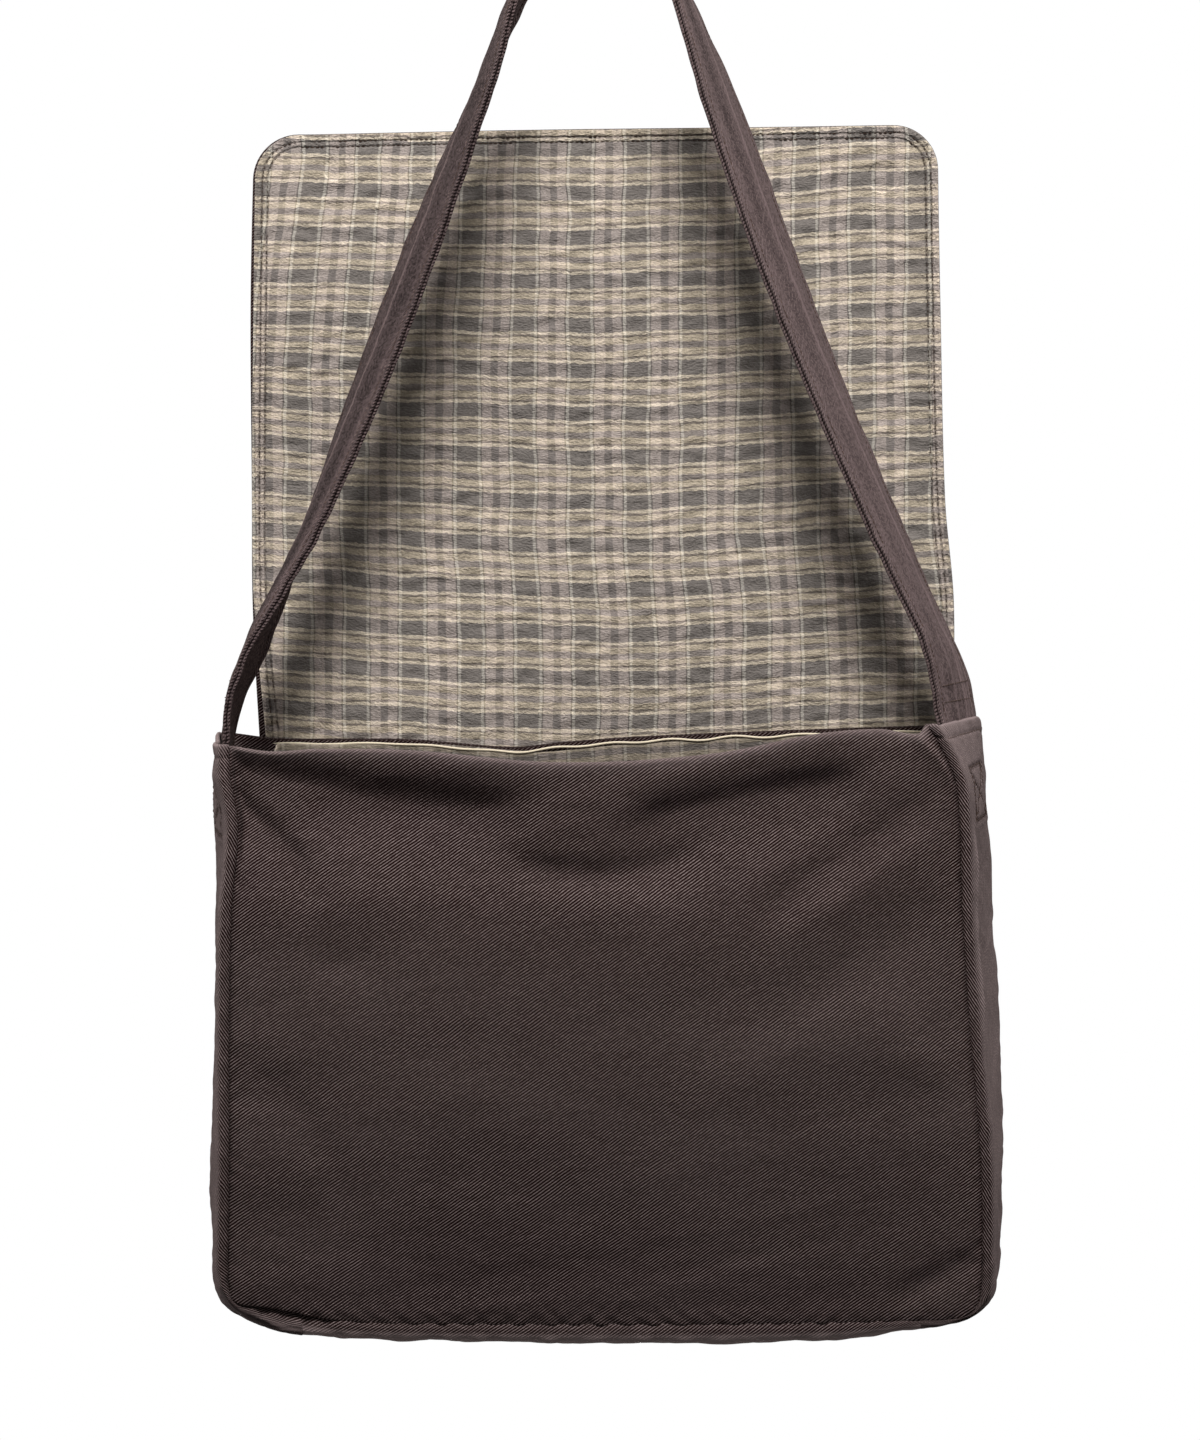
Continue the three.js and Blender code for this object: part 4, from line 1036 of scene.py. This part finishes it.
# The strap: a two-layer profile, outer face, edge, inner face and edge, carried along the path. Each edge
# is two half-round lips with a groove between the layers.
def makeStrap(look):
    middle, wide, out, length, cup = strapFrames(look)
    half, endHalf = look["width"] / 2, look["thick"] / 2
    flat = np.linspace(half, -half, look["across"])
    evenly = np.linspace(-1, 1, look["edgeSteps"] + 2)[1:-1]
    swing = np.pi / 2 * (1 + np.sign(evenly) * np.abs(evenly) ** look["edgeCrowd"])  # closer in the groove
    lips = look["lip"] * np.abs(np.sin(2 * swing)) ** 0.5
    around = lambda *parts: np.concatenate(parts)[:, None]
    aside = around(flat, -half - lips, flat[::-1], half + lips)
    above = around(strapHalf(flat, look), endHalf * np.cos(swing),
                   -strapHalf(flat[::-1], look), -endHalf * np.cos(swing))
    above = above + strapCup(np.clip(aside, -half, half), cup[None], look)
    edgeRoll = swing * look["edgeRoll"]
    unroll = around(flat, -half - edgeRoll, flat[::-1] + look["innerStart"], half + edgeRoll)
    isOuter = np.arange(len(aside))[:, None] < look["across"]
    ridges = isOuter * strapRidges(aside, length[None, :], look)
    uneven = layered(aside, length[None, :], look["uneven"]) + look["ridge"] * ridges
    points = middle[None] + wide[None] * aside[..., None] + out[None] * (above + uneven)[..., None]
    index = gridIndex(points)
    faces = [*gridFaces(np.vstack([index, index[:1]])), index[::-1, 0], index[:, -1]]
    grooveShade, grooveWide = look["grooveShade"]
    groove = bell(swing - np.pi / 2, grooveWide)
    leftPaintedShade, *leftFrom = look["leftPaintedShade"]
    lightAndWear = around(0 * flat, 0 * swing, 0 * flat + look["innerPaintedLight"], 0 * swing)  # painted light: the inner face is paler
    lightAndWear = lightAndWear - leftPaintedShade * smoothStep(-middle[:, 0], *leftFrom)[None]  # and painted shade: the left side darker
    swayBy, swayOver = look["bandSway"]
    cupLightAndShade = sum(by * bell(aside - at, width) for by, at, width in look["cupLightAndShade"])
    # painted shade in the groove between the edge's two layers
    wearAndPaintedLight = look["ridgeWorn"] * ridges + lightAndWear - grooveShade * around(0 * flat, groove, 0 * flat, groove)
    wearAndPaintedLight = wearAndPaintedLight + cupLightAndShade * (1 - swayBy + swayBy * np.sin(length / swayOver))
    place = stacked(unroll, length[None, :], wearAndPaintedLight)
    return makePiece("shoulderStrap", points, faces, place, strapTwill, "strap_twill", "strap")


strap = makeStrap(strapShape)

stitchShape = {
    "rings": 5, "around": 6, "fullness": 0.92, "uneven": 0.03, "rise": 0.75, "sink": 1.3,
    # pitch, length and radius
    "flap": (2.6, 2.0, 0.24), "root": (2.6, 2.0, 0.26), "strap": (2.7, 2.1, 0.24), "bar": (2.4, 2.0, 0.3),
    "gusset": (2.7, 2.1, 0.26),
    "flapFoot": -425, "flapCorner": -120, "flapSteps": 260, "cornerSteps": 40,
    "flapFace": 0.35, "flapBack": -0.3, "rootSpan": (-160, 170, 240), "rootRise": (3.4, 7.0), "rootBack": 0.4,
    "strapShown": (0.05, 0.95), "barHalf": 15, "barSteps": 40, "barHeights": (-405, -413), "barRise": 0.1,
    "gussetSteps": 60,
}


# A row of stitches on a path: each is a short bead along its row, thick in the middle, its ends sunk into
# the cloth. The beads lie a pitch apart, a little unevenly.
def stitchRow(path, normals, kind, seed):
    look = stitchShape
    pitch, long, radius = look[kind]
    normals = np.broadcast_to(normals, path.shape)
    step = lengthAlong(path)
    count = max(int(step[-1] / pitch), 1)
    rng = np.random.default_rng(seed)
    at = (np.arange(count) + 0.5) * step[-1] / count + rng.normal(0, look["uneven"] * pitch, count)
    pick = lambda values, s: np.stack([np.interp(s, step, values[:, k]) for k in range(3)], -1)
    centre = pick(path, at)
    along = unit(pick(path, at + 0.4) - pick(path, at - 0.4))
    up = unit(pick(normals, at))
    up = unit(up - along * np.sum(up * along, -1, keepdims=True))
    side = np.cross(along, up)
    t = np.linspace(-1, 1, look["rings"])
    thick = radius * np.sqrt(1 - (look["fullness"] * t) ** 4)
    lift = radius * (look["rise"] - look["sink"] * t**2)
    turn = np.linspace(0, 2 * np.pi, look["around"], endpoint=False)
    ahead = (t * long / 2)[None, :, None]
    rise = lift[:, None] + thick[:, None] * np.cos(turn)
    sway = thick[:, None] * np.sin(turn)
    points = (centre[:, None, None] + along[:, None, None] * ahead[..., None]
              + up[:, None, None] * rise[None, ..., None] + side[:, None, None] * sway[None, ..., None])
    chance = rng.uniform(0, 1, (count, 1, 1))
    return points.reshape(-1, 3), stacked(ahead, turn * radius, chance).reshape(-1, 3)


# Rows of stitches as one piece: quads round each bead and a face over each of its ends.
def makeStitches(name, rows, slot):
    points, place = (np.concatenate(a) for a in zip(*rows))
    rings, around = stitchShape["rings"], stitchShape["around"]
    index = np.arange(rings * around).reshape(rings, around)
    starts = np.arange(0, len(points), rings * around)[:, None]
    quads = gridFaces(np.hstack([index, index[:, :1]]))
    ends = [*(index[0][::-1] + starts), *(index[-1] + starts)]
    faces = [*(quads[None] + starts[..., None]).reshape(-1, 4), *ends]
    return makePiece(name, points, faces, place, darkThread, slot)


# A row round the flap at a distance inside its edge: up the left side, round both corners, which are
# quarters of a circle, and down the right side.
def flapRow(inset):
    look, radius = stitchShape, flapShape["radius"]
    foot, corner, steps = look["flapFoot"], look["flapCorner"], look["flapSteps"]
    bow, turn = radius - inset, np.linspace(0, np.pi / 2, look["cornerSteps"])
    rise = np.linspace(foot, corner - radius, steps)
    share = (rise - foot) / (corner - radius - foot)
    leftX, rightX = flapSide("left", corner), flapSide("right", corner)
    leftZ, rightZ = flapTop(leftX) - radius, flapTop(rightX) - radius
    topX = np.linspace(leftX + radius, rightX - radius, steps)
    x = np.concatenate([
        flapSide("left", rise) + inset, leftX + radius - bow * np.cos(turn), topX,
        rightX - radius + bow * np.sin(turn), flapSide("right", rise[::-1]) - inset])
    z = np.concatenate([
        rise + (leftZ - corner + radius) * share, leftZ + bow * np.sin(turn), flapTop(topX) - inset,
        rightZ + bow * np.cos(turn), (rise + (rightZ - corner + radius) * share)[::-1]])
    return stacked(x, flapDepth(x, z) + look["flapFace"], z)


# All rows on the flap: on its lining, on its back, and where it is sewn to the back of the bag.
def flapRows(look):
    behind = look["liningThick"] + look["gap"] + look["outerThick"]
    rows = []
    for depth, normal, seed in ((0.0, -backwards, 80), (behind + stitchShape["flapBack"], backwards, 84)):
        for k, inset in enumerate(look["stitchRows"]):
            rows.append(stitchRow(flapRow(inset) + depth * backwards, normal, "flap", seed + k))
    x = np.linspace(*stitchShape["rootSpan"])
    for k, rise in enumerate(stitchShape["rootRise"]):
        z = backTop(x) - look["rootDrop"] + rise
        path = stacked(x, flapDepth(x, z) + behind + stitchShape["rootBack"], z)
        rows.append(stitchRow(path, backwards, "root", 86 + k))
    return rows


flapStitches = makeStitches("flapStitches", flapRows(flapShape), "brown_twill")


# Rows along both edges of both faces of the strap, and two bars across it above each hem.
def strapRows(look):
    middle, wide, out, length, cup = strapFrames(look)
    shown = slice(*(int(share * look["along"]) for share in stitchShape["strapShown"]))
    rows = []
    for k, (edge, face) in enumerate([(-1, 1), (1, 1), (-1, -1), (1, -1)]):
        aside = edge * (look["width"] / 2 - look["stitchIn"])
        above = face * strapHalf(aside, look) + strapCup(aside, cup, look)
        path = middle + wide * aside + out * above[:, None]
        rows.append(stitchRow(path[shown], face * out[shown], "strap", 90 + k))
    aside = np.linspace(-stitchShape["barHalf"], stitchShape["barHalf"], stitchShape["barSteps"])[:, None]
    bars = [(side, height) for side in (-1, 1) for height in stitchShape["barHeights"]]
    for k, (side, height) in enumerate(bars):
        at = np.argmin(np.abs(middle[:, 2] - height) + 999.0 * (side * middle[:, 0] < 0))  # on that side only
        above = strapHalf(aside, look) + strapCup(aside, cup[at], look) + stitchShape["barRise"]
        rows.append(stitchRow(middle[at] + wide[at] * aside + out[at] * above, out[at], "bar", 95 + k))
    return rows


strapStitches = makeStitches("strapStitches", strapRows(strapShape), "strap_twill")


# A straight row on a gusset between two places, each a height below its hem and a depth from front to back.
# Each point is found between two rows of the grid by height and between two of their points by depth.
def gussetRow(grid, along, flip, start, end, seed):
    steps = stitchShape["gussetSteps"]
    fromTop = (along[-1] - along) if flip else along
    drop, depth = np.linspace(start, end, steps).T
    order = np.argsort(fromTop)
    fine = np.interp(drop, fromTop[order], order.astype(float))
    low = np.clip(np.floor(fine).astype(int), 0, len(grid) - 2)
    lines = between(grid[low], grid[low + 1], (fine - low)[:, None, None])
    near = np.clip(np.argmin(np.abs(lines[..., 1] - depth[:, None]), axis=1), 1, grid.shape[1] - 2)
    row = np.arange(steps)
    left, right = lines[row, near - 1], lines[row, near + 1]
    share = np.clip((depth - left[:, 1]) / (right[:, 1] - left[:, 1]), 0, 1)[:, None]
    return stitchRow(between(left, right, share), gridNormals(grid)[low, near], "gusset", seed)


# The rows on a side gusset: the box and cross, and one along the hem.
def gussetRows(grid, along, flip, seed):
    hem, half = boxStitch["hem"], boxStitch["hemHalf"]
    pairs = [*boxLines(), ((hem, -half), (hem, half))]
    return [gussetRow(grid, along, flip, a, b, seed + k) for k, (a, b) in enumerate(pairs)]


sideRows = gussetRows(leftGrid, leftAlong, True, 100) + gussetRows(rightGrid, rightAlong, False, 120)
gussetStitches = makeStitches("gussetStitches", sideRows, "brown_twill")

# Pale round floor well under the bag, a white surround and four soft lights.
studio = {
    "floorZ": -1.1, "floorRadius": 1.5, "floorSides": 96,
    "floorColour": (0.86, 0.86, 0.85, 1), "floorRough": 0.9, "surround": 0.13, "aim": (0, 0, -0.4),
    "lights": [  # degrees round from the front to the right, degrees up, metres off, size, watts
        (0, 55, 2.2, 0.8, 70), (-98, 25, 2.0, 0.8, 28), (98, 25, 2.0, 0.8, 28), (180, 35, 2.2, 1.0, 14)],
}

turn = np.linspace(0, 2 * np.pi, studio["floorSides"], endpoint=False)
floorRim = stacked(*(studio["floorRadius"] * way(turn) for way in (np.cos, np.sin)), studio["floorZ"])
floorMesh = bpy.data.meshes.new("floor")
floorMesh.from_pydata(floorRim.tolist(), [], [list(range(studio["floorSides"]))])
floor = bpy.data.objects.new("floor", floorMesh)
bpy.context.collection.objects.link(floor)
floorPaint = bpy.data.materials.new("floorPaint")
floorPaint.use_nodes = True
floorShader = floorPaint.node_tree.nodes["Principled BSDF"]
floorShader.inputs["Base Color"].default_value = studio["floorColour"]
floorShader.inputs["Roughness"].default_value = studio["floorRough"]
floorMesh.materials.append(floorPaint)
floor.visible_diffuse = False  # no glow from below

for number, (degreesRound, degreesUp, off, size, watts) in enumerate(studio["lights"]):
    lightData = bpy.data.lights.new(f"softLight{number}", "AREA")
    lightData.size, lightData.energy = size, watts
    light = bpy.data.objects.new(f"softLight{number}", lightData)
    azimuth, rise = np.radians(degreesRound), np.radians(degreesUp)
    away = Vector((np.sin(azimuth) * np.cos(rise), -np.cos(azimuth) * np.cos(rise), np.sin(rise)))
    light.location = Vector(studio["aim"]) + away * off
    light.rotation_euler = (-away).to_track_quat("-Z", "Y").to_euler()
    bpy.context.collection.objects.link(light)

world = bpy.data.worlds.new("surround")
bpy.context.scene.world = world
world.use_nodes = True
world.node_tree.nodes.clear()
ray = Wire(world.node_tree).node("LightPath", output="Is Camera Ray")
strength = ray * (1 - studio["surround"]) + studio["surround"]
sky = ray.node("Background", {}, {"Color": (1, 1, 1, 1), "Strength": strength})
sky.node("OutputWorld", {}, {"Surface": sky})
bpy.context.scene.view_settings.view_transform = "Standard"
print("studio lit")
